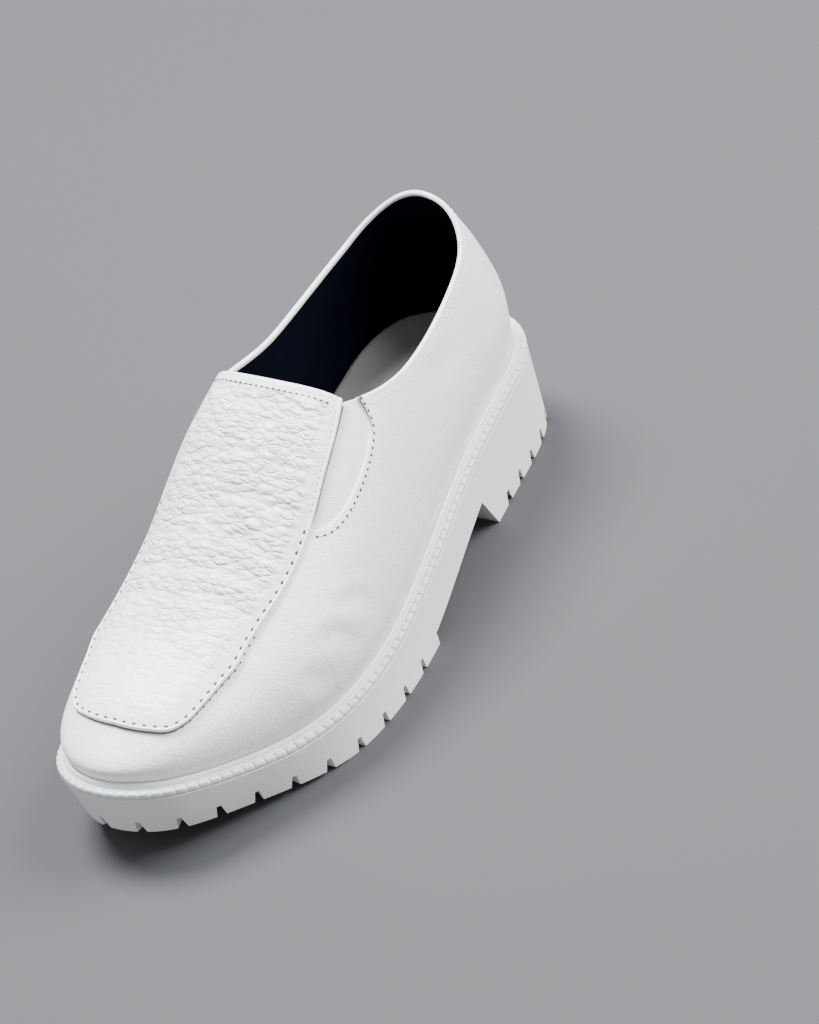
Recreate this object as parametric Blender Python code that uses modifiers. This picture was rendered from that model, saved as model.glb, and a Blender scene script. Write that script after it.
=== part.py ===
# A slip-on nursing shoe for the left foot, on a lugged sole.
# Metres. The toe points to -Y, the outer side of the foot is +X, and the floor is z = 0.
# "Along" runs from 0 at the back of the sole to 1 at its toe tip.

import math

import bmesh
import bpy
import numpy as np

# Sole
SOLE_LENGTH = 0.285
BALL_WIDTH = 0.104
HEEL_WIDTH = 0.070
HEEL_HEIGHT = 0.0380
WAIST_HEIGHT = 0.0265
BALL_HEIGHT = 0.0195
TOE_HEIGHT = 0.0335
TOE_SPRING = 0.0140
HEEL_TREAD_LENGTH = 0.075
BREAST_SLOPE = 0.0085
ARCH_HEIGHT = 0.0175
ARCH_SWEEP = 1.15
FORE_TREAD_LENGTH = 0.141
HEEL_TAPER = 0.0005
TOE_TAPER = 0.0045

# Tread
LUG_DEPTH = 0.0055
LUG_GAP = 0.0018
LUG_DRAFT = 2.3
LUG_OVERRUN = 0.011
LUG_GROOVE_END = 0.9
FORE_LUG_PITCH = 0.0152
HEEL_LUG_PITCH = 0.0120
RIM_BAND = 0.0135
RIM_GROOVE = 0.0018
RIM_GROOVE_DEPTH = 0.0040
FORE_WELL_LENGTH = 0.090
FORE_WELL_WIDTH = 0.034
FORE_WELL_SHARE = 0.63
HEEL_WELL_LENGTH = 0.034
HEEL_WELL_WIDTH = 0.020
HEEL_WELL_SHARE = 0.53
WELL_DEPTH = 0.0064
STUD_SPAN = 0.0125
STUD_ARM = 0.0042
STUD_HEIGHT = 0.0045
STUD_PITCH = 0.0185
STUD_SIDEWAYS = 0.0078

# Welt
WELT_WIDTH = 0.0052
WELT_HEIGHT = 0.0045
WELT_BEAD = 0.0016
WELT_BEAD_CORNER = 0.0005
WELT_STEP = 0.0009
WELT_INSET = 0.0003

# Upper
UPPER_WALL = 0.0020
TOE_BOX_HEIGHT = 0.0505
BALL_CROWN_HEIGHT = 0.0622
THROAT_HEIGHT = 0.1130
THROAT_FROM_BACK = 0.132
BACK_HEIGHT = 0.0725
SIDE_HEIGHT = 0.0515
HEEL_ROUND_HEIGHT = 0.0220
BALL_ROUND_HEIGHT = 0.0122
TOE_ROUND_HEIGHT = 0.0045
HEEL_BULGE = 0.0008
SIDE_BULGE = 0.0034
TOE_BULGE = 0.0010
BACK_LEAN = 0.0105
COLLAR_PINCH = 0.0058
PINCH_START = 0.020
LEAN_HEIGHT = 0.040
LEAN_CURVE = 1.5

# Apron
APRON_WIDTH = 0.0675
APRON_TOE_WIDTH = 0.0640
APRON_REACH = 0.0382
APRON_WALL = 0.0016
APRON_LIP = 0.0010

# Gores
GORE_RUN = 0.043
GORE_BACK = 0.008
GORE_WIDTH = 0.0185
GORE_WALL = 0.0011
GORE_INSET = 0.0007
GORE_TUCK = 0.0025
GORE_LEAST = 0.001
GORE_GAP = 0.0006

# Powers of the gore's edge: square at the back, drawn out to the front tip
GORE_BACK_POWER = 24
GORE_FRONT_POWER = 3
GORE_FRONT_ROOT = 0.6

# Insole
INSOLE_THICKNESS = 0.0075

# Fit
PIECE_GAP = 0.0003
CUTTER_OVERRUN = 0.0015

# The planes of the sections fan out round the toe and the heel from these two centres.
TOE_CENTRE_FROM_TIP = 0.059
HEEL_CENTRE_FROM_BACK = 0.036
RIDGE_SHIFT = -0.0085

# Mesh density
RING_POINTS = 720
CURVE_STEPS = 60
RUN_SAMPLES = 240
ARCH_STEPS = 6
WELL_END_STEPS = 12
SOLE_STATIONS = 44
WELL_STATIONS = 16
WELT_STATIONS = 120
TOE_FAN_STEPS = 12
HEEL_FAN_STEPS = 18
FORE_STEPS = 9
REAR_STEPS = 6
FOOT_ROWS = 3
WALL_ROWS = 5
CROWN_ROWS = 5
GORE_ROWS = 5
GORE_STEPS = 12
GORE_BACK_STEPS = 80

HALF_TURN = math.pi
QUARTER_TURN = math.pi / 2
WELD = 1e-6

# The sole's edge from above: x is heel * HEEL_WIDTH + ball * BALL_WIDTH, positive on the outer side.
SOLE_EDGE = (
    # place, along, heel, ball
    ("toe tip", 1.000, 0.00, -0.095),
    ("outer toe", 0.972, 0.00, 0.147),
    ("outer toe corner", 0.881, 0.00, 0.325),
    ("little toe", 0.762, 0.00, 0.474),
    ("outer ball", 0.650, 0.00, 0.522),
    ("behind the little toe joint", 0.526, 0.00, 0.498),
    ("outer waist", 0.404, 0.23, 0.282),
    ("outer heel front", 0.281, 0.44, 0.080),
    ("outer heel", 0.158, 0.485, 0.000),
    ("outer back corner", 0.042, 0.340, 0.000),
    ("back", 0.000, 0.00, 0.000),
    ("inner back corner", 0.042, -0.325, 0.000),
    ("inner heel", 0.158, -0.510, 0.000),
    ("inner heel front", 0.281, -0.500, -0.030),
    ("inner waist", 0.404, -0.250, -0.192),
    ("behind the big toe joint", 0.526, 0.00, -0.418),
    ("inner ball", 0.650, 0.00, -0.458),
    ("big toe joint", 0.762, 0.00, -0.482),
    ("big toe", 0.868, 0.00, -0.438),
    ("inner toe corner", 0.962, 0.00, -0.310),
)

# The top of the sole, as shares of four named heights.
SOLE_TOP = (
    # along, heel, waist, ball, toe
    (0.000, 1.00, 0.00, 0.00, 0.00),
    (0.281, 0.66, 0.34, 0.00, 0.00),
    (0.456, 0.00, 1.00, 0.00, 0.00),
    (0.667, 0.00, 0.00, 1.00, 0.00),
    (0.807, 0.00, 0.00, 0.95, 0.05),
    (1.000, 0.00, 0.00, 0.00, 1.00),
)

# How far the edge of the tread lies inside the edge of the sole's top.
TREAD_TAPER = (
    # along, heel, toe
    (0.00, 1.00, 0.00),
    (0.26, 1.00, 0.00),
    (0.45, 0.00, 0.00),
    (0.70, 0.00, 0.00),
    (0.91, 0.00, 1.00),
    (1.00, 0.00, 1.00),
)

# The tread is flat as far as the ball and then rises to the toe.
SPRING_SHARE = 0.72
SPRING_CURVE = 1.4

# The ridge of the upper, also the height that the heel's sections would close at.
RIDGE = (
    # along, sideways, throat, ball, toe
    (0.126, 0.00, 1.670, 0.00, 0.00),
    (0.351, 0.60, 1.230, 0.00, 0.00),
    (0.470, 0.90, 1.000, 0.00, 0.00),
    (0.539, 1.00, 0.905, 0.00, 0.00),
    (0.661, 0.85, 0.335, 0.67, 0.00),
    (0.793, 0.63, 0.000, 1.00, 0.00),
    (0.895, 0.63, 0.000, 0.54, 0.46),
    (1.000, 0.63, 0.000, 0.00, 1.00),
)

# Height of the widest line over the welt, how far it stands out from the welt, and the sections' fullness.
BODY = (
    # along, heel round, ball round, toe round, heel bulge, side bulge, toe bulge, fullness
    (0.00, 1.00, 0.00, 0.00, 1.00, 0.00, 0.00, 2.44),
    (0.13, 1.00, 0.00, 0.00, 0.00, 1.00, 0.00, 2.44),
    (0.21, 1.00, 0.00, 0.00, 0.00, 1.00, 0.00, 2.50),
    (0.42, 0.50, 0.50, 0.00, 0.00, 1.00, 0.00, 2.65),
    (0.56, 0.15, 0.85, 0.00, 0.00, 1.00, 0.00, 2.45),
    (0.67, 0.00, 1.00, 0.00, 0.00, 1.00, 0.00, 2.32),
    (0.79, 0.00, 0.60, 0.40, 0.00, 0.80, 0.20, 2.34),
    (1.00, 0.00, 0.00, 1.00, 0.00, 0.00, 1.00, 2.34),
)

# The topline behind the throat, as heights over the welt at the heel. It ends at the apron's corners.
COLLAR = (
    # along, back, side
    (0.000, 1.00, 0.00),
    (0.158, 0.15, 0.85),
    (0.323, 0.00, 1.00),
)

# The part of each section that the apron covers, where APRON_WIDTH at the ball is 1.
APRON_EDGE = (
    # along, share
    (0.40, 0.975),
    (0.47, 0.970),
    (0.54, 0.971),
    (0.61, 0.976),
    (0.67, 0.958),
    (0.73, 0.946),
    (0.79, 0.960),
)
BALL_SHARE = 0.65
APRON_TURN = 4

# The apron's edge round the toe, from its side to its tip, as parts of its half width and its reach.
APRON_TOE = (
    # sideways, forwards
    (1.000, 0.000),
    (0.916, 0.274),
    (0.828, 0.570),
    (0.759, 0.743),
    (0.628, 0.893),
    (0.428, 0.964),
    (0.214, 0.997),
    (0.000, 1.000),
)


def column(table, index):
    return np.array([row[index] for row in table], float)


def curve(knots, values, at, start_slope=None):
    """A smooth curve through the knots, level beyond both ends."""
    knots = np.asarray(knots, float)
    values = np.asarray(values, float)
    slopes = np.gradient(values, knots)
    if start_slope is not None:
        slopes[0] = start_slope
    at = np.clip(at, knots[0], knots[-1])
    i = np.clip(np.searchsorted(knots, at, side="right") - 1, 0, len(knots) - 2)
    span = knots[i + 1] - knots[i]
    u = (at - knots[i]) / span
    through = values[i] * (1 + 2 * u) * (1 - u) ** 2 + values[i + 1] * u * u * (3 - 2 * u)
    return through + span * u * (1 - u) * (slopes[i] * (1 - u) - slopes[i + 1] * u)


def blend_of(table, first, sizes, along):
    """A smooth sum of named sizes, each with its share in one column of the table."""
    total = sum(column(table, first + i) * size for i, size in enumerate(sizes))
    return curve(column(table, 0), total, along)


def smooth_step(value):
    value = np.clip(value, 0.0, 1.0)
    return value * value * (3 - 2 * value)


def eased(steps):
    """Shares from 0 to 1 that lie closer together at both ends."""
    return (1 - np.cos(np.linspace(0, HALF_TURN, steps + 1))) / 2


def y_of(along):
    return (0.5 - along) * SOLE_LENGTH


def along_of(y):
    return 0.5 - y / SOLE_LENGTH


# Rings: closed outlines seen from above, run counter-clockwise from the toe tip.


def closed_curve(points, count):
    """Evenly spaced points on a smooth closed curve through the given ones."""
    points = np.asarray(points, float)
    size = len(points)
    after = points[(np.arange(size) + 1) % size] - points
    gap = np.sqrt(np.linalg.norm(after, axis=1))
    system = np.zeros((size, size))
    pull = np.zeros((size, 2))
    for i in range(size):
        before = (i - 1) % size
        system[i, before] = 1 / gap[before]
        system[i, i] = 2 / gap[before] + 2 / gap[i]
        system[i, (i + 1) % size] = 1 / gap[i]
        pull[i] = 3 * after[before] / gap[before] ** 2 + 3 * after[i] / gap[i] ** 2
    slopes = np.linalg.solve(system, pull)
    pieces = []
    for i in range(size):
        u = np.linspace(0, 1, CURVE_STEPS, endpoint=False)[:, None]
        end = (i + 1) % size
        through = points[i] * (1 + 2 * u) * (1 - u) ** 2 + points[end] * u * u * (3 - 2 * u)
        pieces.append(through + gap[i] * u * (1 - u) * (slopes[i] * (1 - u) - slopes[end] * u))
    return respaced(np.vstack(pieces), count)


def runs_of(points):
    """The length along a line of points up to each of them."""
    return np.concatenate([[0], np.cumsum(np.linalg.norm(np.diff(points, axis=0), axis=1))])


def respaced(ring, count):
    closed = np.vstack([ring, ring[:1]])
    run = runs_of(closed)
    at = np.linspace(0, run[-1], count, endpoint=False)
    return np.stack([np.interp(at, run, closed[:, axis]) for axis in (0, 1)], axis=1)


def outward(ring):
    run = np.roll(ring, -1, axis=0) - np.roll(ring, 1, axis=0)
    normal = np.stack([run[:, 1], -run[:, 0]], axis=1)
    return normal / np.linalg.norm(normal, axis=1)[:, None]


def offset(ring, distance):
    return ring + outward(ring) * np.reshape(distance, (-1, 1))


def reach(ring, start, heading):
    """How far the ring lies from a point inside it, in one direction."""
    first = ring - start
    edge = np.roll(ring, -1, axis=0) - ring
    across = heading[0] * edge[:, 1] - heading[1] * edge[:, 0]
    across = np.where(np.abs(across) < 1e-12, 1e-12, across)
    distance = (first[:, 0] * edge[:, 1] - first[:, 1] * edge[:, 0]) / across
    share = (first[:, 0] * heading[1] - first[:, 1] * heading[0]) / across
    hit = (share >= 0) & (share <= 1) & (distance > 0)
    return distance[hit].min()


def sole_ring():
    points = [(heel * HEEL_WIDTH + ball * BALL_WIDTH, y_of(along)) for _, along, heel, ball in SOLE_EDGE]
    return closed_curve(points, RING_POINTS)


def middle(ring):
    return (ring.min(axis=0) + ring.max(axis=0)) / 2


# The shoe's box stands over the origin, so everything shifts by what the drawn edge is off the middle.
SHIFT = -middle(sole_ring())
SOLE_RING = sole_ring() + SHIFT


def sole_top(y):
    sizes = (HEEL_HEIGHT, WAIST_HEIGHT, BALL_HEIGHT, TOE_HEIGHT)
    return blend_of(SOLE_TOP, 1, sizes, along_of(y))


def tread_height(y):
    rise = np.clip((along_of(y) - SPRING_SHARE) / (1 - SPRING_SHARE), 0, None)
    return TOE_SPRING * rise ** SPRING_CURVE


def tread_ring():
    taper = blend_of(TREAD_TAPER, 1, (HEEL_TAPER, TOE_TAPER), along_of(SOLE_RING[:, 1]))
    return offset(SOLE_RING, -taper)


TREAD_RING = tread_ring()
FEATHER_RING = offset(SOLE_RING, -WELT_WIDTH)


def widest_ring():
    bulge = blend_of(BODY, 4, (HEEL_BULGE, SIDE_BULGE, TOE_BULGE), along_of(FEATHER_RING[:, 1]))
    return offset(FEATHER_RING, bulge)


WIDEST_RING = widest_ring()

TOE_CENTRE = y_of(1) + TOE_CENTRE_FROM_TIP
HEEL_CENTRE = y_of(0) - HEEL_CENTRE_FROM_BACK
THROAT = y_of(0) - THROAT_FROM_BACK


# The upper


def ridge_height(y):
    sizes = (THROAT_HEIGHT, BALL_CROWN_HEIGHT, TOE_BOX_HEIGHT)
    return blend_of(RIDGE, 2, sizes, along_of(y))


class Section:
    """Half a section of the upper: it runs from the ridge, at crown angle 0, over the widest line, at a
    quarter turn, down to the welt, at a half turn."""

    def __init__(self, y, heading_angle):
        self.y = y
        self.heading = np.array([math.cos(heading_angle), math.sin(heading_angle)])
        self.centre = np.array([blend_of(RIDGE, 1, (RIDGE_SHIFT,), along_of(y)) + SHIFT[0], y])
        self.foot = reach(FEATHER_RING, self.centre, self.heading)
        self.half_width = reach(WIDEST_RING, self.centre, self.heading)
        foot_y = self.centre[1] + self.foot * self.heading[1]
        self.seat = float(sole_top(foot_y))
        self.bottom = self.seat + WELT_HEIGHT
        rounds = (HEEL_ROUND_HEIGHT, BALL_ROUND_HEIGHT, TOE_ROUND_HEIGHT)
        self.widest = self.bottom + float(blend_of(BODY, 1, rounds, along_of(foot_y)))
        self.fullness = float(blend_of(BODY, 7, (1.0,), along_of(y)))
        self.backwards = max(self.heading[1], 0.0) ** 2 if y >= HEEL_CENTRE else 0.0

    def placed(self, distance, z):
        """The point at a distance from the centre and a height, with the collar drawn in over the foot."""
        over = max(z - self.widest, 0.0) / LEAN_HEIGHT
        rear = smooth_step((self.y - THROAT + PINCH_START) / (HEEL_CENTRE - THROAT)) * (1 - self.backwards)
        distance -= (self.backwards * BACK_LEAN + rear * COLLAR_PINCH) * over ** LEAN_CURVE
        x, y = self.centre + distance * self.heading
        return np.array([x, y, z])

    def point(self, angle):
        if angle <= QUARTER_TURN:
            distance = self.half_width * math.sin(angle) ** (2 / self.fullness)
            top = float(ridge_height(min(self.centre[1] + distance * self.heading[1], HEEL_CENTRE)))
            z = self.widest + (top - self.widest) * max(math.cos(angle), 0.0) ** (2 / self.fullness)
            return self.placed(distance, z)
        share = (angle - QUARTER_TURN) / QUARTER_TURN
        distance = self.half_width - (self.half_width - self.foot) * share ** 2
        return self.placed(distance, self.widest - (self.widest - self.bottom) * share)

    def angle_at_height(self, z):
        top = float(ridge_height(self.y))
        return math.acos(min(max((z - self.widest) / (top - self.widest), 0.0), 1.0) ** (self.fullness / 2))

    def angle_at_width(self, width):
        return math.asin(min(width / self.half_width, 1.0) ** (self.fullness / 2))

    def further(self, angle, length):
        """The crown angle at a length along the section from another, towards the welt if positive."""
        angles = np.linspace(0, HALF_TURN, RUN_SAMPLES + 1)
        run = runs_of(np.array([self.point(value) for value in angles]))
        return float(np.interp(np.interp(angle, angles, run) + length, run, angles))


BALL_SECTION_WIDTH = sum(Section(y_of(BALL_SHARE), angle).half_width for angle in (0.0, HALF_TURN))


def apron_angle(section):
    """The crown angle of the apron's edge."""
    toe_half = APRON_TOE_WIDTH / 2
    if section.y > TOE_CENTRE + WELD:
        share = float(curve(column(APRON_EDGE, 0), column(APRON_EDGE, 1), along_of(section.y)))
        width = section.half_width * share * APRON_WIDTH / BALL_SECTION_WIDTH
        toewards = (y_of(BALL_SHARE) - section.y) / (y_of(BALL_SHARE) - TOE_CENTRE)
        toewards = min(max(toewards, 0.0), 1.0) ** APRON_TURN
        return section.angle_at_width(width + (toe_half - width) * toewards)
    across = column(APRON_TOE, 0) * toe_half
    ahead = column(APRON_TOE, 1) * APRON_REACH
    sideways, forwards = abs(section.heading)
    width = curve(np.arctan2(ahead, across), np.hypot(across, ahead), math.atan2(forwards, sideways))
    return section.angle_at_width(float(width))


def collar_angle(section):
    """The crown angle of the topline, behind the throat."""
    side_angle = 0.0 if section.heading[0] >= 0 else HALF_TURN
    corner = Section(THROAT, side_angle)
    corner_height = corner.point(apron_angle(corner))[2]
    base = HEEL_HEIGHT + WELT_HEIGHT
    heights = column(COLLAR, 1) * BACK_HEIGHT + column(COLLAR, 2) * SIDE_HEIGHT + base
    knots = np.append(column(COLLAR, 0), along_of(THROAT))
    foot_along = along_of(section.centre[1] + section.foot * section.heading[1])
    z = float(curve(knots, np.append(heights, corner_height), foot_along, start_slope=0.0))
    return section.angle_at_height(z)


def sections_round():
    """The sections of the upper, counter-clockwise from the toe tip: outer front, back and inner front."""
    toe_fan = np.linspace(-QUARTER_TURN, 0, TOE_FAN_STEPS + 1)
    heel_fan = np.linspace(0, HALF_TURN, HEEL_FAN_STEPS + 1)
    fore = np.linspace(TOE_CENTRE, THROAT, FORE_STEPS + 1)[1:]
    rear = np.linspace(THROAT, HEEL_CENTRE, REAR_STEPS + 1)[1:-1]
    outer_front = [Section(TOE_CENTRE, angle) for angle in toe_fan] + [Section(y, 0.0) for y in fore]
    back = [Section(y, 0.0) for y in rear]
    back += [Section(HEEL_CENTRE, angle) for angle in heel_fan]
    back += [Section(y, HALF_TURN) for y in rear[::-1]]
    inner_front = [Section(y, HALF_TURN) for y in fore[::-1]]
    inner_front += [Section(TOE_CENTRE, HALF_TURN - angle) for angle in toe_fan[:0:-1]]
    return outer_front, back, inner_front


def wall_points(section, top_angle):
    """The rows of one section from the sole to the apron's edge or the topline."""
    foot_angles = np.linspace(HALF_TURN, QUARTER_TURN, FOOT_ROWS + 1)
    wall_angles = np.linspace(QUARTER_TURN, top_angle, WALL_ROWS + 1)[1:]
    tuck = section.point(HALF_TURN)
    tuck[2] = section.seat + PIECE_GAP
    return [tuck] + [section.point(angle) for angle in (*foot_angles, *wall_angles)]


def crown_points(section, edge_angle, rows=CROWN_ROWS):
    return [section.point(angle) for angle in np.linspace(edge_angle, 0, rows + 1)]


# Mesh tools


def sheet_mesh(grids):
    """One welded open sheet from grids of points. Each grid is a list of columns of one length."""
    mesh = bmesh.new()
    for grid in grids:
        rows = [[mesh.verts.new(point) for point in line] for line in grid]
        for line, following in zip(rows, rows[1:]):
            for i in range(len(line) - 1):
                mesh.faces.new((line[i], following[i], following[i + 1], line[i + 1]))
    bmesh.ops.remove_doubles(mesh, verts=mesh.verts, dist=WELD)
    bmesh.ops.dissolve_degenerate(mesh, edges=mesh.edges, dist=WELD)
    return mesh


def solid_mesh(faces):
    """A closed mesh from faces given as lists of points."""
    mesh = bmesh.new()
    for face in faces:
        mesh.faces.new([mesh.verts.new(point) for point in face])
    bmesh.ops.remove_doubles(mesh, verts=mesh.verts, dist=WELD)
    bmesh.ops.dissolve_degenerate(mesh, edges=mesh.edges, dist=WELD)
    bmesh.ops.recalc_face_normals(mesh, faces=mesh.faces)
    return mesh


def moved_out(mesh, distance):
    """Moves a sheet along its own normals."""
    mesh.normal_update()
    normals = [vertex.normal.copy() for vertex in mesh.verts]
    for vertex, normal in zip(mesh.verts, normals):
        vertex.co += normal * distance


def prism_faces(low, high):
    """The faces of a prism between two rings of points."""
    faces = [list(low)[::-1], list(high)]
    for i in range(len(low)):
        j = (i + 1) % len(low)
        faces.append([low[i], low[j], high[j], high[i]])
    return faces


def make_object(name, mesh, collection, material=None):
    data = bpy.data.meshes.new(name)
    mesh.to_mesh(data)
    mesh.free()
    piece = bpy.data.objects.new(name, data)
    collection.objects.link(piece)
    if material:
        data.materials.append(material)
    return piece


def make_cutter(name, mesh, collection):
    cutter = make_object(name, mesh, collection)
    cutter.hide_render = True
    cutter.display_type = "WIRE"
    return cutter


def thicken(piece, thickness, side):
    """Gives a sheet a wall: side -1 puts it inside the sheet, and 0 on both sides."""
    modifier = piece.modifiers.new("wall", "SOLIDIFY")
    modifier.thickness = thickness
    modifier.offset = side
    modifier.use_even_offset = True


def cut(piece, cutter, operation="DIFFERENCE", own_overlaps=False):
    modifier = piece.modifiers.new(cutter.name, "BOOLEAN")
    modifier.operation = operation
    modifier.use_self = own_overlaps
    modifier.solver = "EXACT"
    modifier.object = cutter


def round_off(piece, angle=math.radians(40)):
    piece.data.shade_smooth()
    piece.data.set_sharp_from_angle(angle=angle)


def finish(name, color, roughness):
    material = bpy.data.materials.new(name)
    material.use_nodes = True
    shader = material.node_tree.nodes["Principled BSDF"]
    shader.inputs["Base Color"].default_value = (*color, 1.0)
    shader.inputs["Roughness"].default_value = roughness
    shader.inputs["Metallic"].default_value = 0.0
    material.diffuse_color = (*color, 1.0)
    return material


# Outsole


def split_ring(ring):
    """The outer and the inner half of a ring, each from the toe to the back."""
    toe = int(np.argmin(ring[:, 1]))
    turned = np.roll(ring, -toe, axis=0)
    back = int(np.argmax(turned[:, 1]))
    inner = np.vstack([turned[:1], turned[:back - 1:-1]])
    return turned[:back + 1], inner


def slab(upper_ring, lower_ring, top_of, bottom_of, stations):
    """A solid between two rings of points, its top and bottom level across the shoe."""
    share = eased(stations)
    lines = []
    for ring, height in ((upper_ring, top_of), (lower_ring, bottom_of)):
        for half in split_ring(ring):
            y = half[0, 1] + share * (half[-1, 1] - half[0, 1])
            x = np.interp(y, half[:, 1], half[:, 0])
            lines.append(np.stack([x, y, height(y)], axis=1))
    top_outer, top_inner, low_outer, low_inner = lines
    faces = []
    for i in range(stations):
        j = i + 1
        faces.append([top_outer[i], top_outer[j], top_inner[j], top_inner[i]])
        faces.append([low_outer[i], low_inner[i], low_inner[j], low_outer[j]])
        faces.append([low_outer[i], low_outer[j], top_outer[j], top_outer[i]])
        faces.append([low_inner[i], top_inner[i], top_inner[j], low_inner[j]])
    return solid_mesh(faces)


def arch_cutter():
    """The hollow between the heel's breast and the tread of the forefoot."""
    breast = y_of(0) - HEEL_TREAD_LENGTH
    fore = y_of(1) + FORE_TREAD_LENGTH
    top = breast - BREAST_SLOPE
    roof = [(top - share * (top - fore), share) for share in np.linspace(0, 1, ARCH_STEPS + 1)]
    fall = ARCH_HEIGHT - LUG_DEPTH
    side = [(breast, -HEEL_HEIGHT), (breast, 0.0)]
    side += [(y, LUG_DEPTH + fall * (1 - share) ** ARCH_SWEEP) for y, share in roof]
    side += [(fore, -HEEL_HEIGHT)]
    half = BALL_WIDTH
    return solid_mesh(prism_faces([(-half, y, z) for y, z in side], [(half, y, z) for y, z in side]))


def rim_groove_cutter():
    """The narrow groove that parts the outer lugs from the inner bars."""
    outer = respaced(offset(SOLE_RING, -RIM_BAND), WELT_STATIONS)
    inner = offset(outer, -RIM_GROOVE)
    faces = []
    for i in range(len(outer)):
        j = (i + 1) % len(outer)
        ends = []
        for k in (i, j):
            roof = float(tread_height(outer[k, 1])) + RIM_GROOVE_DEPTH
            low = -HEEL_HEIGHT
            ends.append([(*outer[k], low), (*inner[k], low), (*inner[k], roof), (*outer[k], roof)])
        for side in range(4):
            following = (side + 1) % 4
            faces.append([ends[0][side], ends[0][following], ends[1][following], ends[1][side]])
    return solid_mesh(faces)


def well(centre_y, length, width):
    """The two end centres and the half width of a long round well in the tread."""
    run = (length - width) / 2
    return centre_y - run, centre_y + run, width / 2


def fore_well():
    return well(y_of(1) + FORE_TREAD_LENGTH * FORE_WELL_SHARE, FORE_WELL_LENGTH, FORE_WELL_WIDTH)


def heel_well():
    return well(y_of(0) - HEEL_TREAD_LENGTH * HEEL_WELL_SHARE, HEEL_WELL_LENGTH, HEEL_WELL_WIDTH)


def tread_axis(y):
    """The middle of the tread, between its outer and inner edge."""
    halves = split_ring(TREAD_RING)
    return sum(float(np.interp(y, half[:, 1], half[:, 0])) for half in halves) / 2


def tread_runs():
    """The tread's ring, closed, and how far round it each point lies from the toe tip."""
    closed = np.vstack([TREAD_RING, TREAD_RING[:1]])
    return closed, runs_of(closed)


def lug_grooves(first, last, pitch, ends):
    """Tapered grooves from the edge between two places on the ring to the well."""
    front, back, half = ends
    count = round(abs(last - first) / pitch)
    closed, run = tread_runs()
    faces = []
    for step in range(1, count):
        at = (first + (last - first) * step / count) % run[-1]
        edge = np.array([np.interp(at, run, closed[:, axis]) for axis in (0, 1)])
        target_y = min(max(edge[1], front), back)
        target = np.array([tread_axis(target_y), target_y])
        heading = (target - edge) / np.linalg.norm(target - edge)
        across = np.array([-heading[1], heading[0]])
        start = edge - heading * LUG_OVERRUN
        end = target - heading * half * LUG_GROOVE_END
        low, high = [], []
        for place, side in ((start, -0.5), (end, -0.5), (end, 0.5), (start, 0.5)):
            roof = float(tread_height(place[1])) + LUG_DEPTH
            low.append((*(place + across * side * LUG_GAP * LUG_DRAFT), roof - LUG_DEPTH - CUTTER_OVERRUN))
            high.append((*(place + across * side * LUG_GAP), roof))
        faces += prism_faces(low, high)
    return faces


def edge_run(y, outer):
    """How far round the tread's ring, counter-clockwise from the toe tip, a place on its edge lies."""
    closed, run = tread_runs()
    back = int(np.argmax(closed[:, 1]))
    if outer:
        return float(np.interp(y, closed[:back + 1, 1], run[:back + 1]))
    return float(np.interp(-y, -closed[back:, 1], run[back:]))


def groove_cutter():
    fore = y_of(1) + FORE_TREAD_LENGTH
    breast = y_of(0) - HEEL_TREAD_LENGTH
    whole = float(tread_runs()[1][-1])
    faces = lug_grooves(edge_run(fore, False) - whole, edge_run(fore, True), FORE_LUG_PITCH, fore_well())
    faces += lug_grooves(edge_run(breast, True), edge_run(breast, False), HEEL_LUG_PITCH, heel_well())
    return solid_mesh(faces)


def well_cutter(ends):
    front, back, half = ends
    ring = []
    for centre, start in ((front, HALF_TURN), (back, 0.0)):
        for angle in np.linspace(start, start + HALF_TURN, WELL_END_STEPS + 1):
            ring.append((tread_axis(centre) + half * math.cos(angle), centre + half * math.sin(angle)))
    ring = np.array(ring)
    return slab(
        ring, ring,
        lambda y: tread_height(y) + WELL_DEPTH,
        lambda y: np.full(len(y), -HEEL_HEIGHT),
        WELL_STATIONS,
    )


def stud_faces(x, y):
    """A round-ended cross that stands in the well."""
    low, high = [], []
    roof = float(tread_height(y)) + WELL_DEPTH
    tip = math.asin(STUD_ARM / STUD_SPAN)
    eighth = QUARTER_TURN / 2
    for quarter in range(4):
        turn = eighth + quarter * QUARTER_TURN
        for radius, angle in ((STUD_SPAN / 2, -tip), (STUD_SPAN / 2, tip), (STUD_ARM / math.sqrt(2), eighth)):
            spot = (x + radius * math.cos(turn + angle), y + radius * math.sin(turn + angle))
            low.append((*spot, roof - STUD_HEIGHT))
            high.append((*spot, roof + CUTTER_OVERRUN))
    return prism_faces(low, high)


def studs():
    front, back, _ = fore_well()
    faces = []
    for row in (-1.5, -0.5, 0.5, 1.5):
        y = (front + back) / 2 + row * STUD_PITCH
        sides = (-STUD_SIDEWAYS, STUD_SIDEWAYS) if abs(row) < 1 else (0.0,)
        for side in sides:
            faces += stud_faces(tread_axis(y) + side, y)
    return solid_mesh(faces)


def build_outsole(collection, cutters):
    material = finish("sole rubber", (0.78, 0.80, 0.79), 0.55)
    mesh = slab(SOLE_RING, TREAD_RING, sole_top, tread_height, SOLE_STATIONS)
    outsole = make_object("outsole", mesh, collection, material)
    cut(outsole, make_cutter("arch_cutter", arch_cutter(), cutters))
    cut(outsole, make_cutter("fore_well_cutter", well_cutter(fore_well()), cutters))
    cut(outsole, make_cutter("heel_well_cutter", well_cutter(heel_well()), cutters))
    cut(outsole, make_cutter("lug_groove_cutter", groove_cutter(), cutters), own_overlaps=True)
    cut(outsole, make_cutter("rim_groove_cutter", rim_groove_cutter(), cutters))
    cut(outsole, make_cutter("studs", studs(), cutters), "UNION")


# Welt, insole


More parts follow.
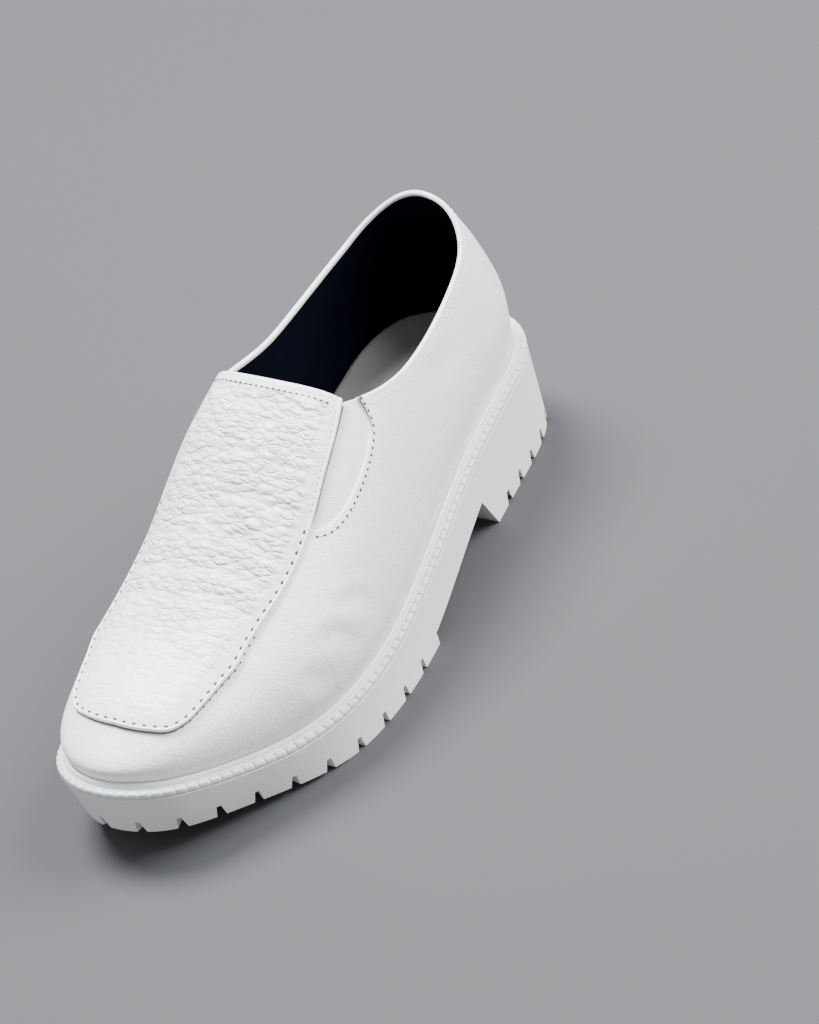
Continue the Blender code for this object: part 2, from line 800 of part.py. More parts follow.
def build_welt(collection):
    """A strip with a round bead against the upper and a lower flat flange outside it."""
    bead_outside = WELT_WIDTH - PIECE_GAP - WELT_BEAD
    flange = WELT_HEIGHT - WELT_STEP
    inside = WELT_WIDTH - PIECE_GAP
    profile = (
        (WELT_INSET, PIECE_GAP),
        (WELT_INSET, flange - WELT_STEP),
        (WELT_INSET + WELT_STEP, flange),
        (bead_outside, flange),
        (bead_outside + WELT_BEAD_CORNER, WELT_HEIGHT - PIECE_GAP),
        (inside - WELT_BEAD_CORNER, WELT_HEIGHT - PIECE_GAP),
        (inside, WELT_HEIGHT - PIECE_GAP - WELT_BEAD_CORNER),
        (inside, PIECE_GAP),
    )
    edge = respaced(SOLE_RING, WELT_STATIONS)
    seat = sole_top(edge[:, 1])
    rings = []
    for depth, height in profile:
        ring = offset(edge, -depth)
        rings.append(np.column_stack([ring, seat + height]))
    faces = []
    for i in range(WELT_STATIONS):
        j = (i + 1) % WELT_STATIONS
        for ring, following in zip(rings, rings[1:] + rings[:1]):
            faces.append([ring[i], ring[j], following[j], following[i]])
    welt = make_object("welt", solid_mesh(faces), collection, finish("welt", (0.84, 0.87, 0.89), 0.40))
    round_off(welt)


def build_insole(collection):
    depth = WELT_WIDTH + UPPER_WALL + 2 * PIECE_GAP
    ring = offset(SOLE_RING, -depth)
    mesh = slab(
        ring, ring,
        lambda y: sole_top(y) + PIECE_GAP + INSOLE_THICKNESS,
        lambda y: sole_top(y) + PIECE_GAP,
        SOLE_STATIONS,
    )
    insole = make_object("insole", mesh, collection, finish("insole", (0.55, 0.55, 0.56), 0.85))
    round_off(insole)


# Upper, apron and gores


def build_upper(collection, cutters, leather):
    outer_front, back, inner_front = sections_round()
    walls = [wall_points(section, apron_angle(section)) for section in outer_front]
    walls += [wall_points(section, collar_angle(section)) for section in back]
    walls += [wall_points(section, apron_angle(section)) for section in inner_front]
    walls.append(walls[0])
    outer_crown = [crown_points(section, apron_angle(section)) for section in outer_front]
    inner_crown = [crown_points(section, apron_angle(section)) for section in inner_front]
    inner_crown.append(outer_crown[0])
    upper = make_object("upper", sheet_mesh((walls, outer_crown, inner_crown)), collection, leather)
    thicken(upper, UPPER_WALL, -1)
    for side, angle in (("outer", 0.0), ("inner", HALF_TURN)):
        window = make_cutter("gore_window_" + side, gore_window(angle), cutters)
        thicken(window, UPPER_WALL * 4, 0)
        cut(upper, window)
    round_off(upper)


def build_apron(collection, leather):
    outer_front, _, inner_front = sections_round()
    columns = []
    for section in outer_front + inner_front:
        edge = apron_angle(section)
        lip = section.further(edge, APRON_LIP)
        columns.append([section.point(lip)] + crown_points(section, edge))
    split = len(outer_front)
    sheet = sheet_mesh((columns[:split], columns[split:] + columns[:1]))
    moved_out(sheet, PIECE_GAP + APRON_WALL)
    apron = make_object("apron", sheet, collection, leather)
    thicken(apron, APRON_WALL, -1)
    round_off(apron)


def gore_depth(y, gap=0.0):
    """How far a gore reaches below the apron's edge, less a gap."""
    depths = []
    for place in (y - gap, y + gap):
        share = (THROAT + GORE_BACK - place) / (GORE_BACK + GORE_RUN)
        share = min(max(share, 0.0), 1.0)
        back = 1 - (1 - share) ** GORE_BACK_POWER
        tip = (1 - share ** GORE_FRONT_POWER) ** GORE_FRONT_ROOT
        depths.append(GORE_WIDTH * back * tip)
    return min(depths) - gap


def gore_back(side_angle):
    """Where the back of a gore comes out from under the topline."""
    for y in np.linspace(THROAT + GORE_BACK, THROAT, GORE_BACK_STEPS):
        section = Section(y, side_angle)
        low = section.further(apron_angle(section), gore_depth(y, GORE_GAP))
        if low > section.further(collar_angle(section), GORE_LEAST):
            return y
    return THROAT


def gore_sheet(side_angle, back, front, gap, top):
    """The upper's own surface within a gore's edge."""
    columns = []
    for y in back + eased(GORE_STEPS) * (front - back):
        section = Section(y, side_angle)
        edge = apron_angle(section)
        low = section.further(edge, gore_depth(y, gap))
        angles = np.linspace(low, top(section, edge), GORE_ROWS + 1)
        columns.append([section.point(angle) for angle in angles])
    if not side_angle:
        columns.reverse()
    return sheet_mesh((columns,))


def gore_window(side_angle):
    """A sheet through the upper's wall that runs on over the topline behind the throat."""
    def top(section, edge):
        above = smooth_step((section.y - THROAT) / GORE_BACK) * GORE_BACK
        return section.further(edge, -GORE_TUCK - float(above))

    return gore_sheet(side_angle, THROAT + GORE_BACK, THROAT - GORE_RUN, 0.0, top)


def build_gore(name, side_angle, collection, elastic):
    def top(section, edge):
        tucked = section.further(edge, PIECE_GAP - GORE_TUCK)
        return max(tucked, collar_angle(section)) if section.y > THROAT else tucked

    front = THROAT - GORE_RUN + GORE_GAP
    sheet = gore_sheet(side_angle, gore_back(side_angle), front, GORE_GAP, top)
    moved_out(sheet, -GORE_INSET)
    gore = make_object(name, sheet, collection, elastic)
    thicken(gore, GORE_WALL, -1)
    round_off(gore)


def build():
    for item in list(bpy.data.objects):
        bpy.data.objects.remove(item, do_unlink=True)
    shoe = bpy.data.collections.new("nursing shoe")
    cutters = bpy.data.collections.new("cutters")
    bpy.context.scene.collection.children.link(shoe)
    bpy.context.scene.collection.children.link(cutters)
    leather = finish("white leather", (0.86, 0.86, 0.86), 0.42)
    grained = finish("grained white leather", (0.88, 0.88, 0.88), 0.38)
    elastic = finish("white elastic", (0.74, 0.74, 0.75), 0.80)
    build_outsole(shoe, cutters)
    build_welt(shoe)
    build_insole(shoe)
    build_upper(shoe, cutters, leather)
    build_apron(shoe, grained)
    build_gore("gore_outer", 0.0, shoe, elastic)
    build_gore("gore_inner", HALF_TURN, shoe, elastic)


build()
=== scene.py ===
"""Looks of a white slip-on nursing shoe for the left foot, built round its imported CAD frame.

Metres. The toe points to -Y, the outer side of the foot is +X, and the floor is z = 0.
"""

import math

import bmesh
import bpy
import numpy as np
from mathutils import Matrix, Vector, noise


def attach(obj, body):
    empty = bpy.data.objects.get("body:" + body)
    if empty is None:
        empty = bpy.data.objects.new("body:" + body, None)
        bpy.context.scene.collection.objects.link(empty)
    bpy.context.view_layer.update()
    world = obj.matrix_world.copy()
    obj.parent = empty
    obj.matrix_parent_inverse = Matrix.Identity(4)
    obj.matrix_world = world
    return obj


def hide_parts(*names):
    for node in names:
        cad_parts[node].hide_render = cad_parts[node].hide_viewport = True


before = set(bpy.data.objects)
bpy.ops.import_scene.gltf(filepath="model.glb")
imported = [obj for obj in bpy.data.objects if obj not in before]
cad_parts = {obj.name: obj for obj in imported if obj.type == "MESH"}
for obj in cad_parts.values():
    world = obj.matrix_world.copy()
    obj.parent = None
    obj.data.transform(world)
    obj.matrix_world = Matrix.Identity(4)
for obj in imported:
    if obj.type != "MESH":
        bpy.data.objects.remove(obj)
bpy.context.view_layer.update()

HALF_TURN = math.pi
QUARTER_TURN = math.pi / 2
MM = 0.001

# The CAD part's sizes
SOLE_LENGTH = 0.285
BALL_WIDTH = 0.104
HEEL_WIDTH = 0.070
SOLE_HEIGHTS = (0.0380, 0.0265, 0.0195, 0.0335)
TOE_SPRING = 0.0140
SPRING_START = 0.72
SPRING_CURVE = 1.4
HEEL_TREAD_LENGTH = 0.075
BREAST_SLOPE = 0.0085
ARCH_HEIGHT = 0.0175
FORE_TREAD_LENGTH = 0.141
TREAD_TAPERS = (0.0005, 0.0045)
LUG_DEPTH = 0.0055
LUG_GAP = 0.0018
LUG_DRAFT = 2.3
FORE_LUG_PITCH = 0.0152
HEEL_LUG_PITCH = 0.0120
WELT_WIDTH = 0.0052
WELT_HEIGHT = 0.0045
UPPER_WALL = 0.0020
RIDGE_HEIGHTS = (0.1130, 0.0622, 0.0505)
ROUND_HEIGHTS = (0.0220, 0.0122, 0.0045)
BULGES = (0.0008, 0.0034, 0.0010)
BACK_HEIGHT = 0.0725
SIDE_HEIGHT = 0.0515
BACK_LEAN = 0.0105
COLLAR_PINCH = 0.0058
APRON_WIDTH = 0.0675
APRON_TOE_WIDTH = 0.0640
APRON_REACH = 0.0382
APRON_LIP = 0.0010
APRON_LIFT = 0.0019
GORE_RUN = 0.043
GORE_BACK = 0.008
GORE_WIDTH = 0.0185
RIDGE_SHIFT = -0.0085
TOE_CENTRE = -SOLE_LENGTH / 2 + 0.059
HEEL_CENTRE = SOLE_LENGTH / 2 - 0.036
THROAT = SOLE_LENGTH / 2 - 0.132
BALL = 0.65
SIDES = (("outer", 0.0), ("inner", HALF_TURN))

# x is heel * HEEL_WIDTH + ball * BALL_WIDTH
SOLE_EDGE = (
    # along, heel, ball
    (1.000, 0.00, -0.095), (0.972, 0.00, 0.147), (0.881, 0.00, 0.325), (0.762, 0.00, 0.474),
    (0.650, 0.00, 0.522), (0.526, 0.00, 0.498), (0.404, 0.23, 0.282), (0.281, 0.44, 0.080),
    (0.158, 0.485, 0.000), (0.042, 0.340, 0.000), (0.000, 0.00, 0.000), (0.042, -0.325, 0.000),
    (0.158, -0.510, 0.000), (0.281, -0.500, -0.030), (0.404, -0.250, -0.192), (0.526, 0.00, -0.418),
    (0.650, 0.00, -0.458), (0.762, 0.00, -0.482), (0.868, 0.00, -0.438), (0.962, 0.00, -0.310),
)
SOLE_TOP = (
    # along, heel, waist, ball, toe
    (0.000, 1.00, 0.00, 0.00, 0.00), (0.281, 0.66, 0.34, 0.00, 0.00), (0.456, 0.00, 1.00, 0.00, 0.00),
    (0.667, 0.00, 0.00, 1.00, 0.00), (0.807, 0.00, 0.00, 0.95, 0.05), (1.000, 0.00, 0.00, 0.00, 1.00),
)
TREAD_TAPER = (
    # along, heel, toe
    (0.00, 1.0, 0.0), (0.26, 1.0, 0.0), (0.45, 0.0, 0.0), (0.70, 0.0, 0.0), (0.91, 0.0, 1.0),
    (1.00, 0.0, 1.0),
)
RIDGE = (
    # along, sideways, throat, ball, toe
    (0.126, 0.00, 1.670, 0.00, 0.00), (0.351, 0.60, 1.230, 0.00, 0.00), (0.470, 0.90, 1.000, 0.00, 0.00),
    (0.539, 1.00, 0.905, 0.00, 0.00), (0.661, 0.85, 0.335, 0.67, 0.00), (0.793, 0.63, 0.000, 1.00, 0.00),
    (0.895, 0.63, 0.000, 0.54, 0.46), (1.000, 0.63, 0.000, 0.00, 1.00),
)
BODY = (
    # along, heel round, ball round, toe round, heel bulge, side bulge, toe bulge, fullness
    (0.00, 1.00, 0.00, 0.00, 1.00, 0.00, 0.00, 2.44), (0.13, 1.00, 0.00, 0.00, 0.00, 1.00, 0.00, 2.44),
    (0.21, 1.00, 0.00, 0.00, 0.00, 1.00, 0.00, 2.50), (0.42, 0.50, 0.50, 0.00, 0.00, 1.00, 0.00, 2.65),
    (0.56, 0.15, 0.85, 0.00, 0.00, 1.00, 0.00, 2.45), (0.67, 0.00, 1.00, 0.00, 0.00, 1.00, 0.00, 2.32),
    (0.79, 0.00, 0.60, 0.40, 0.00, 0.80, 0.20, 2.34), (1.00, 0.00, 0.00, 1.00, 0.00, 0.00, 1.00, 2.34),
)
COLLAR = (
    # along, back, side
    (0.000, 1.00, 0.00), (0.158, 0.15, 0.85), (0.323, 0.00, 1.00),
)
APRON_EDGE = (
    # along, share
    (0.40, 0.975), (0.47, 0.970), (0.54, 0.971), (0.61, 0.976), (0.67, 0.958), (0.73, 0.946), (0.79, 0.960),
)

# The photo's camera
AZIMUTH = math.radians(41.56)
ELEVATION = math.radians(37.89)
ROLL = math.radians(-17.15)
DISTANCE = 2.2
LENS = 199.14
TARGET = (0.00621, 0.05455, 0.00886)
LIGHT_AIM = (0.0, 0.0, 0.04)


# Shape functions


def column(table, index):
    return np.array([row[index] for row in table], float)


def curve(knots, values, at, start_slope=None):
    """A smooth curve through the knots, level beyond both ends."""
    knots = np.asarray(knots, float)
    values = np.asarray(values, float)
    slopes = np.gradient(values, knots)
    if start_slope is not None:
        slopes[0] = start_slope
    at = np.clip(at, knots[0], knots[-1])
    i = np.clip(np.searchsorted(knots, at, side="right") - 1, 0, len(knots) - 2)
    span = knots[i + 1] - knots[i]
    u = (at - knots[i]) / span
    through = values[i] * (1 + 2 * u) * (1 - u) ** 2 + values[i + 1] * u * u * (3 - 2 * u)
    return through + span * u * (1 - u) * (slopes[i] * (1 - u) - slopes[i + 1] * u)


def table_curve(table, along):
    return curve(column(table, 0), column(table, 1), along)


def blend_of(table, first, sizes, along):
    total = sum(column(table, first + i) * size for i, size in enumerate(sizes))
    return curve(column(table, 0), total, along)


def end_crowded(count):
    """Shares from 0 to 1 that lie closer together towards both ends."""
    return (1 - np.cos(np.linspace(0, HALF_TURN, count))) / 2


def smooth_step(value):
    value = np.clip(value, 0.0, 1.0)
    return value * value * (3 - 2 * value)


def y_of(along):
    return (0.5 - along) * SOLE_LENGTH


def along_of(y):
    return 0.5 - y / SOLE_LENGTH


def runs_of(points):
    """The length along a line of points up to each of them."""
    return np.concatenate([[0], np.cumsum(np.linalg.norm(np.diff(points, axis=0), axis=1))])


def points_at(lengths, run, line):
    """The points of a line at some lengths along it."""
    return np.stack([np.interp(lengths, run, axis) for axis in line.T], axis=-1)


def looped(ring):
    """A ring with its first point again at its end, and its running lengths."""
    closed = np.vstack([ring, ring[:1]])
    return closed, runs_of(closed)


def respaced(ring, count):
    closed, run = looped(ring)
    at = np.linspace(0, run[-1], count, endpoint=False)
    return points_at(at, run, closed)


def closed_curve(points, count):
    """Evenly spaced points on a smooth closed curve through the given ones."""
    points = np.asarray(points, float)
    size = len(points)
    after = points[(np.arange(size) + 1) % size] - points
    gap = np.sqrt(np.linalg.norm(after, axis=1))
    system = np.zeros((size, size))
    pull = np.zeros((size, 2))
    for i in range(size):
        before = (i - 1) % size
        system[i, before] = 1 / gap[before]
        system[i, i] = 2 / gap[before] + 2 / gap[i]
        system[i, (i + 1) % size] = 1 / gap[i]
        pull[i] = 3 * after[before] / gap[before] ** 2 + 3 * after[i] / gap[i] ** 2
    slopes = np.linalg.solve(system, pull)
    pieces = []
    for i in range(size):
        u = np.linspace(0, 1, 80, endpoint=False)[:, None]
        end = (i + 1) % size
        through = points[i] * (1 + 2 * u) * (1 - u) ** 2 + points[end] * u * u * (3 - 2 * u)
        pieces.append(through + gap[i] * u * (1 - u) * (slopes[i] * (1 - u) - slopes[end] * u))
    return respaced(np.vstack(pieces), count)


def outward(ring):
    run = np.roll(ring, -1, axis=0) - np.roll(ring, 1, axis=0)
    normal = np.stack([run[:, 1], -run[:, 0]], axis=1)
    return normal / np.linalg.norm(normal, axis=1)[:, None]


def offset(ring, distance):
    return ring + outward(ring) * np.reshape(distance, (-1, 1))


def reach(ring, start, heading):
    """How far the ring lies from a point inside it, in one direction."""
    first = ring - start
    edge = np.roll(ring, -1, axis=0) - ring
    across = heading[0] * edge[:, 1] - heading[1] * edge[:, 0]
    across = np.where(np.abs(across) < 1e-12, 1e-12, across)
    distance = (first[:, 0] * edge[:, 1] - first[:, 1] * edge[:, 0]) / across
    share = (first[:, 0] * heading[1] - first[:, 1] * heading[0]) / across
    hit = (share >= 0) & (share <= 1) & (distance > 0)
    return distance[hit].min()


def split_ring(ring):
    """A ring's outer and inner halves, each from the toe tip to the back."""
    toe = int(np.argmin(ring[:, 1]))
    turned = np.roll(ring, -toe, axis=0)
    back = int(np.argmax(turned[:, 1]))
    return turned[:back + 1], np.vstack([turned[:1], turned[:back - 1:-1]])


def sole_ring(count):
    points = [(heel * HEEL_WIDTH + ball * BALL_WIDTH, y_of(along)) for along, heel, ball in SOLE_EDGE]
    return closed_curve(points, count)


DRAWN_RING = sole_ring(1440)
SHIFT = -(DRAWN_RING.min(axis=0) + DRAWN_RING.max(axis=0)) / 2
SOLE_RING = DRAWN_RING + SHIFT
FEATHER_RING = offset(SOLE_RING, -WELT_WIDTH)
WIDEST_RING = offset(FEATHER_RING, blend_of(BODY, 4, BULGES, along_of(FEATHER_RING[:, 1])))


def sole_top(y):
    return blend_of(SOLE_TOP, 1, SOLE_HEIGHTS, along_of(y))


def tread_height(y):
    rise = np.clip((along_of(y) - SPRING_START) / (1 - SPRING_START), 0, None)
    return TOE_SPRING * rise ** SPRING_CURVE


TREAD_RING = offset(SOLE_RING, -blend_of(TREAD_TAPER, 1, TREAD_TAPERS, along_of(SOLE_RING[:, 1])))


def ridge_height(y):
    return blend_of(RIDGE, 2, RIDGE_HEIGHTS, along_of(y))


def ridge_slope(y):
    return (ridge_height(y + MM) - ridge_height(y - MM)) / (2 * MM)


class Section:
    """Half a section of the upper: crown angle 0 is the ridge, a quarter turn the widest line, a half turn
    the welt."""

    def __init__(self, y, heading_angle):
        self.y = y
        self.heading = np.array([math.cos(heading_angle), math.sin(heading_angle)])
        self.centre = np.array([blend_of(RIDGE, 1, (RIDGE_SHIFT,), along_of(y)) + SHIFT[0], y])
        self.foot = reach(FEATHER_RING, self.centre, self.heading)
        self.half_width = reach(WIDEST_RING, self.centre, self.heading)
        foot_y = self.centre[1] + self.foot * self.heading[1]
        self.foot_along = along_of(foot_y)
        self.seat = float(sole_top(foot_y))
        self.bottom = self.seat + WELT_HEIGHT
        self.widest = self.bottom + float(blend_of(BODY, 1, ROUND_HEIGHTS, self.foot_along))
        self.fullness = float(blend_of(BODY, 7, (1.0,), along_of(y)))
        self.backwards = max(self.heading[1], 0.0) ** 2 if y >= HEEL_CENTRE else 0.0
        self.angles = np.linspace(0, HALF_TURN, 361)
        self.runs = runs_of(self.points(self.angles))

    def points(self, angles):
        angles = np.atleast_1d(np.asarray(angles, float))
        crown = np.clip(angles, 0, QUARTER_TURN)
        power = 2 / self.fullness
        distance = self.half_width * np.sin(crown) ** power
        top = ridge_height(np.minimum(self.centre[1] + distance * self.heading[1], HEEL_CENTRE))
        z = self.widest + (top - self.widest) * np.maximum(np.cos(crown), 0.0) ** power
        share = np.clip((angles - QUARTER_TURN) / QUARTER_TURN, 0, 1)
        low = angles > QUARTER_TURN
        distance = np.where(low, self.half_width - (self.half_width - self.foot) * share ** 2, distance)
        z = np.where(low, self.widest - (self.widest - self.bottom) * share, z)
        over = np.maximum(z - self.widest, 0.0) / 0.040
        rear = smooth_step((self.y - THROAT + 0.02) / (HEEL_CENTRE - THROAT)) * (1 - self.backwards)
        distance = distance - (self.backwards * BACK_LEAN + rear * COLLAR_PINCH) * over ** 1.5
        x = self.centre[0] + distance * self.heading[0]
        y = self.centre[1] + distance * self.heading[1]
        return np.column_stack([x, y, z])

    def point(self, angle):
        return self.points(angle)[0]

    def angle_at_height(self, z):
        top = float(ridge_height(self.y))
        return math.acos(min(max((z - self.widest) / (top - self.widest), 0.0), 1.0) ** (self.fullness / 2))

    def angle_at_width(self, width):
        return math.asin(min(width / self.half_width, 1.0) ** (self.fullness / 2))

    def further(self, angle, length):
        """The crown angle at a length along the section from another, towards the welt if positive."""
        return np.interp(np.interp(angle, self.angles, self.runs) + length, self.runs, self.angles)


BALL_SECTION_WIDTH = sum(Section(y_of(BALL), angle).half_width for name, angle in SIDES)

# The apron's edge round the toe, from its side to its tip, as parts of its half width and its reach.
APRON_TOE = (
    # sideways, forwards
    (1.000, 0.000), (0.916, 0.274), (0.828, 0.570), (0.759, 0.743),
    (0.628, 0.893), (0.428, 0.964), (0.214, 0.997), (0.000, 1.000),
)


def apron_angle(section):
    toe_half = APRON_TOE_WIDTH / 2
    if section.y > TOE_CENTRE + 1e-6:
        share = float(table_curve(APRON_EDGE, along_of(section.y)))
        width = section.half_width * share * APRON_WIDTH / BALL_SECTION_WIDTH
        toewards = min(max((y_of(BALL) - section.y) / (y_of(BALL) - TOE_CENTRE), 0.0), 1.0) ** 2.2
        return section.angle_at_width(width + (toe_half - width) * toewards)
    across = column(APRON_TOE, 0) * toe_half
    ahead = column(APRON_TOE, 1) * APRON_REACH
    sideways, forwards = abs(section.heading)
    width = curve(np.arctan2(ahead, across), np.hypot(across, ahead), math.atan2(forwards, sideways))
    return section.angle_at_width(float(width))


def corner_height(side_angle):
    corner = Section(THROAT, side_angle)
    return corner.point(apron_angle(corner))[2]


CORNERS = [corner_height(angle) for name, angle in SIDES]


def collar_angle(section):
    corner = CORNERS[0] if section.heading[0] >= 0 else CORNERS[1]
    base = SOLE_HEIGHTS[0] + WELT_HEIGHT
    heights = column(COLLAR, 1) * BACK_HEIGHT + column(COLLAR, 2) * SIDE_HEIGHT + base
    knots = np.append(column(COLLAR, 0), along_of(THROAT))
    z = float(curve(knots, np.append(heights, corner), section.foot_along, start_slope=0.0))
    return section.angle_at_height(z)


def gore_depth(y):
    share = min(max((THROAT + GORE_BACK - y) / (GORE_BACK + GORE_RUN), 0.0), 1.0)
    return GORE_WIDTH * (1 - (1 - share) ** 24) * (1 - share ** 3) ** 0.6


def sections_round(fan, fore, rear, heel):
    """The sections of the upper, counter-clockwise from the toe tip: outer front, back and inner front."""
    toe_fan = np.linspace(-QUARTER_TURN, 0, fan + 1)
    fore_y = np.linspace(TOE_CENTRE, THROAT, fore + 1)[1:]
    near = THROAT + np.linspace(0, GORE_BACK + 0.001, 20)
    rear_y = np.concatenate([near, np.linspace(near[-1], HEEL_CENTRE, rear + 1)[1:-1]])
    outer_front = [Section(TOE_CENTRE, angle) for angle in toe_fan] + [Section(y, 0.0) for y in fore_y]
    back = [Section(y, 0.0) for y in rear_y[1:]]
    back += [Section(HEEL_CENTRE, angle) for angle in np.linspace(0, HALF_TURN, heel + 1)]
    back += [Section(y, HALF_TURN) for y in rear_y[:0:-1]]
    inner_front = [Section(y, HALF_TURN) for y in fore_y[::-1]]
    inner_front += [Section(TOE_CENTRE, HALF_TURN - angle) for angle in toe_fan[::-1]]
    return outer_front, back, inner_front


class Patch:
    """Points of the last on a grid of columns and rows, with their normals and their directions upwards."""

    def __init__(self, sections, angles, closed=False):
        angles = np.asarray(angles, float)
        count = len(sections)
        step = 0.012
        self.points = np.array([s.points(a) for s, a in zip(sections, angles)])
        above = np.array([s.points(np.maximum(a - step, 0)) for s, a in zip(sections, angles)])
        below = np.array([s.points(np.minimum(a + step, HALF_TURN)) for s, a in zip(sections, angles)])
        before = []
        after = []
        for i in range(count):
            last, following = (i - 1, i + 1) if closed else (max(i - 1, 0), min(i + 1, count - 1))
            before.append(sections[last].points(angles[i]))
            after.append(sections[following % count].points(angles[i]))
        self.up = unit(above - below)
        self.normals = unit(np.cross(np.array(after) - np.array(before), self.up))
        slope = ridge_slope(self.points[..., 1])
        ridge_normal = unit(np.stack([0 * slope, -slope, 1 + 0 * slope], axis=-1))
        self.normals = np.where((angles < 1e-6)[..., None], ridge_normal, self.normals)

    def lifted(self, lift):
        return self.points + self.normals * np.asarray(lift)[..., None]


def unit(vectors):
    return vectors / np.maximum(np.linalg.norm(vectors, axis=-1, keepdims=True), 1e-12)


# Meshes


def grid_faces(columns, rows, closed=False):
    i = np.arange(columns if closed else columns - 1)[:, None]
    j = np.arange(rows - 1)[None, :]
    following = (i + 1) % columns
    near, far = i * rows + j, following * rows + j
    return np.stack([near, far, far + 1, near + 1], axis=-1).reshape(-1, 4)


def placed(name, data):
    piece = bpy.data.objects.new(name, data)
    bpy.context.scene.collection.objects.link(piece)
    return piece


def mesh_object(name, points, faces, material):
    data = bpy.data.meshes.new(name)
    data.from_pydata(np.asarray(points).tolist(), [], [list(map(int, face)) for face in faces])
    data.materials.append(material)
    piece = placed(name, data)
    data.shade_smooth()
    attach(piece, "root")
    return piece


def welded(piece):
    mesh = bmesh.new()
    mesh.from_mesh(piece.data)
    bmesh.ops.remove_doubles(mesh, verts=mesh.verts, dist=2e-6)
    bmesh.ops.dissolve_degenerate(mesh, edges=mesh.edges, dist=1e-7)
    mesh.to_mesh(piece.data)
    mesh.free()
    return piece


def grids_object(name, grids, material, closed=False, values=None):
    """One piece from grids of points, welded where they meet, with a value for each point if given."""
    points = []
    faces = []
    total = 0
    for grid in grids:
        grid = np.asarray(grid)
        faces.append(grid_faces(grid.shape[0], grid.shape[1], closed) + total)
        points.append(grid.reshape(-1, 3))
        total += grid.shape[0] * grid.shape[1]
    piece = mesh_object(name, np.vstack(points), np.vstack(faces), material)
    if values:
        layer = piece.data.attributes.new(name="inside", type="FLOAT", domain="POINT")
        joined = np.concatenate([np.ravel(value) for value in values])
        layer.data.foreach_set("value", joined.astype(np.float32))
    return welded(piece)


def stands_for(node):
    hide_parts(node)


def tile(points, faces, places, axes):
    """Copies of a small mesh, each turned to its own three axes."""
    points = np.asarray(points, float)
    copies = np.einsum("pk,nkj->npj", points, axes) + places[:, None, :]
    count = len(points)
    all_faces = [[index + i * count for index in face] for i in range(len(places)) for face in faces]
    return copies.reshape(-1, 3), all_faces


def ball_mesh(half_sizes, around=8, rings=5):
    """A small ellipsoid."""
    mesh = bmesh.new()
    bmesh.ops.create_uvsphere(mesh, u_segments=around, v_segments=rings, radius=1.0)
    points = np.array([vertex.co[:] for vertex in mesh.verts]) * np.array(half_sizes)
    faces = [[vertex.index for vertex in face.verts] for face in mesh.faces]
    mesh.free()
    return points, faces


def pressed(points, normals, marks):
    """Moves points along their normals for each soft crease: a trough between two low ridges."""
    shift = np.zeros(points.shape[:-1])
    for ends, depth, width in marks:
        line = np.array([Section(y, side).point(math.radians(angle)) for side, y, angle in ends])
        run = runs_of(line)
        nearest = np.full(points.shape[:-1], 1.0)
        place = np.zeros(points.shape[:-1])
        for i in range(len(line) - 1):
            step = line[i + 1] - line[i]
            share = np.clip(((points - line[i]) @ step) / (step @ step), 0, 1)
            far = np.linalg.norm(points - (line[i] + share[..., None] * step), axis=-1)
            closer = far < nearest
            nearest = np.where(closer, far, nearest)
            place = np.where(closer, (run[i] + share * (run[i + 1] - run[i])) / run[-1], place)
        fade = np.sin(np.clip(place, 0.001, 0.999) * HALF_TURN) ** 0.7
        ridges = 0.4 * np.exp(-((nearest - 2 * width) / width) ** 2)
        shift += depth * fade * (ridges - np.exp(-(nearest / width) ** 2))
    return points + normals * shift[..., None]


def rippled(points, normals, size, height, seed):
    """Slow uneven swellings, as on leather pulled over a last."""
    flat = points.reshape(-1, 3)
    spots = flat / size + seed
    values = np.array([noise.noise(Vector(spot)) for spot in spots]).reshape(points.shape[:-1])
    return points + normals * (values * height)[..., None]


# Materials


def group(name, inputs, outputs):
    tree = bpy.data.node_groups.new(name, "ShaderNodeTree")
    for title, kind, value in inputs:
        socket = tree.interface.new_socket(title, in_out="INPUT", socket_type=kind)
        if value is not None:
            socket.default_value = value
    for title, kind in outputs:
        tree.interface.new_socket(title, in_out="OUTPUT", socket_type=kind)
    return tree, tree.nodes.new("NodeGroupInput"), tree.nodes.new("NodeGroupOutput")


def add(tree, kind, **settings):
    node = tree.nodes.new(kind)
    for key, value in settings.items():
        if hasattr(node, key):
            setattr(node, key, value)
        else:
            node.inputs[key].default_value = value
    return node


def sums(tree, operation, first, second):
    node = tree.nodes.new("ShaderNodeMath")
    node.operation = operation
    for socket, value in zip(node.inputs, (first, second)):
        if isinstance(value, (int, float)):
            socket.default_value = value
        else:
            tree.links.new(value, socket)
    return node.outputs[0]


def mapped(tree, value, low, high, to_low=0.0, to_high=1.0):
    node = tree.nodes.new("ShaderNodeMapRange")
    node.interpolation_type = "SMOOTHSTEP"
    tree.links.new(value, node.inputs["Value"])
    for title, number in (("From Min", low), ("From Max", high), ("To Min", to_low), ("To Max", to_high)):
        node.inputs[title].default_value = number
    return node.outputs["Result"]


def scale_by(tree, start, factor, node):
    tree.links.new(sums(tree, "MULTIPLY", start.outputs["Scale"], factor), node.inputs["Scale"])


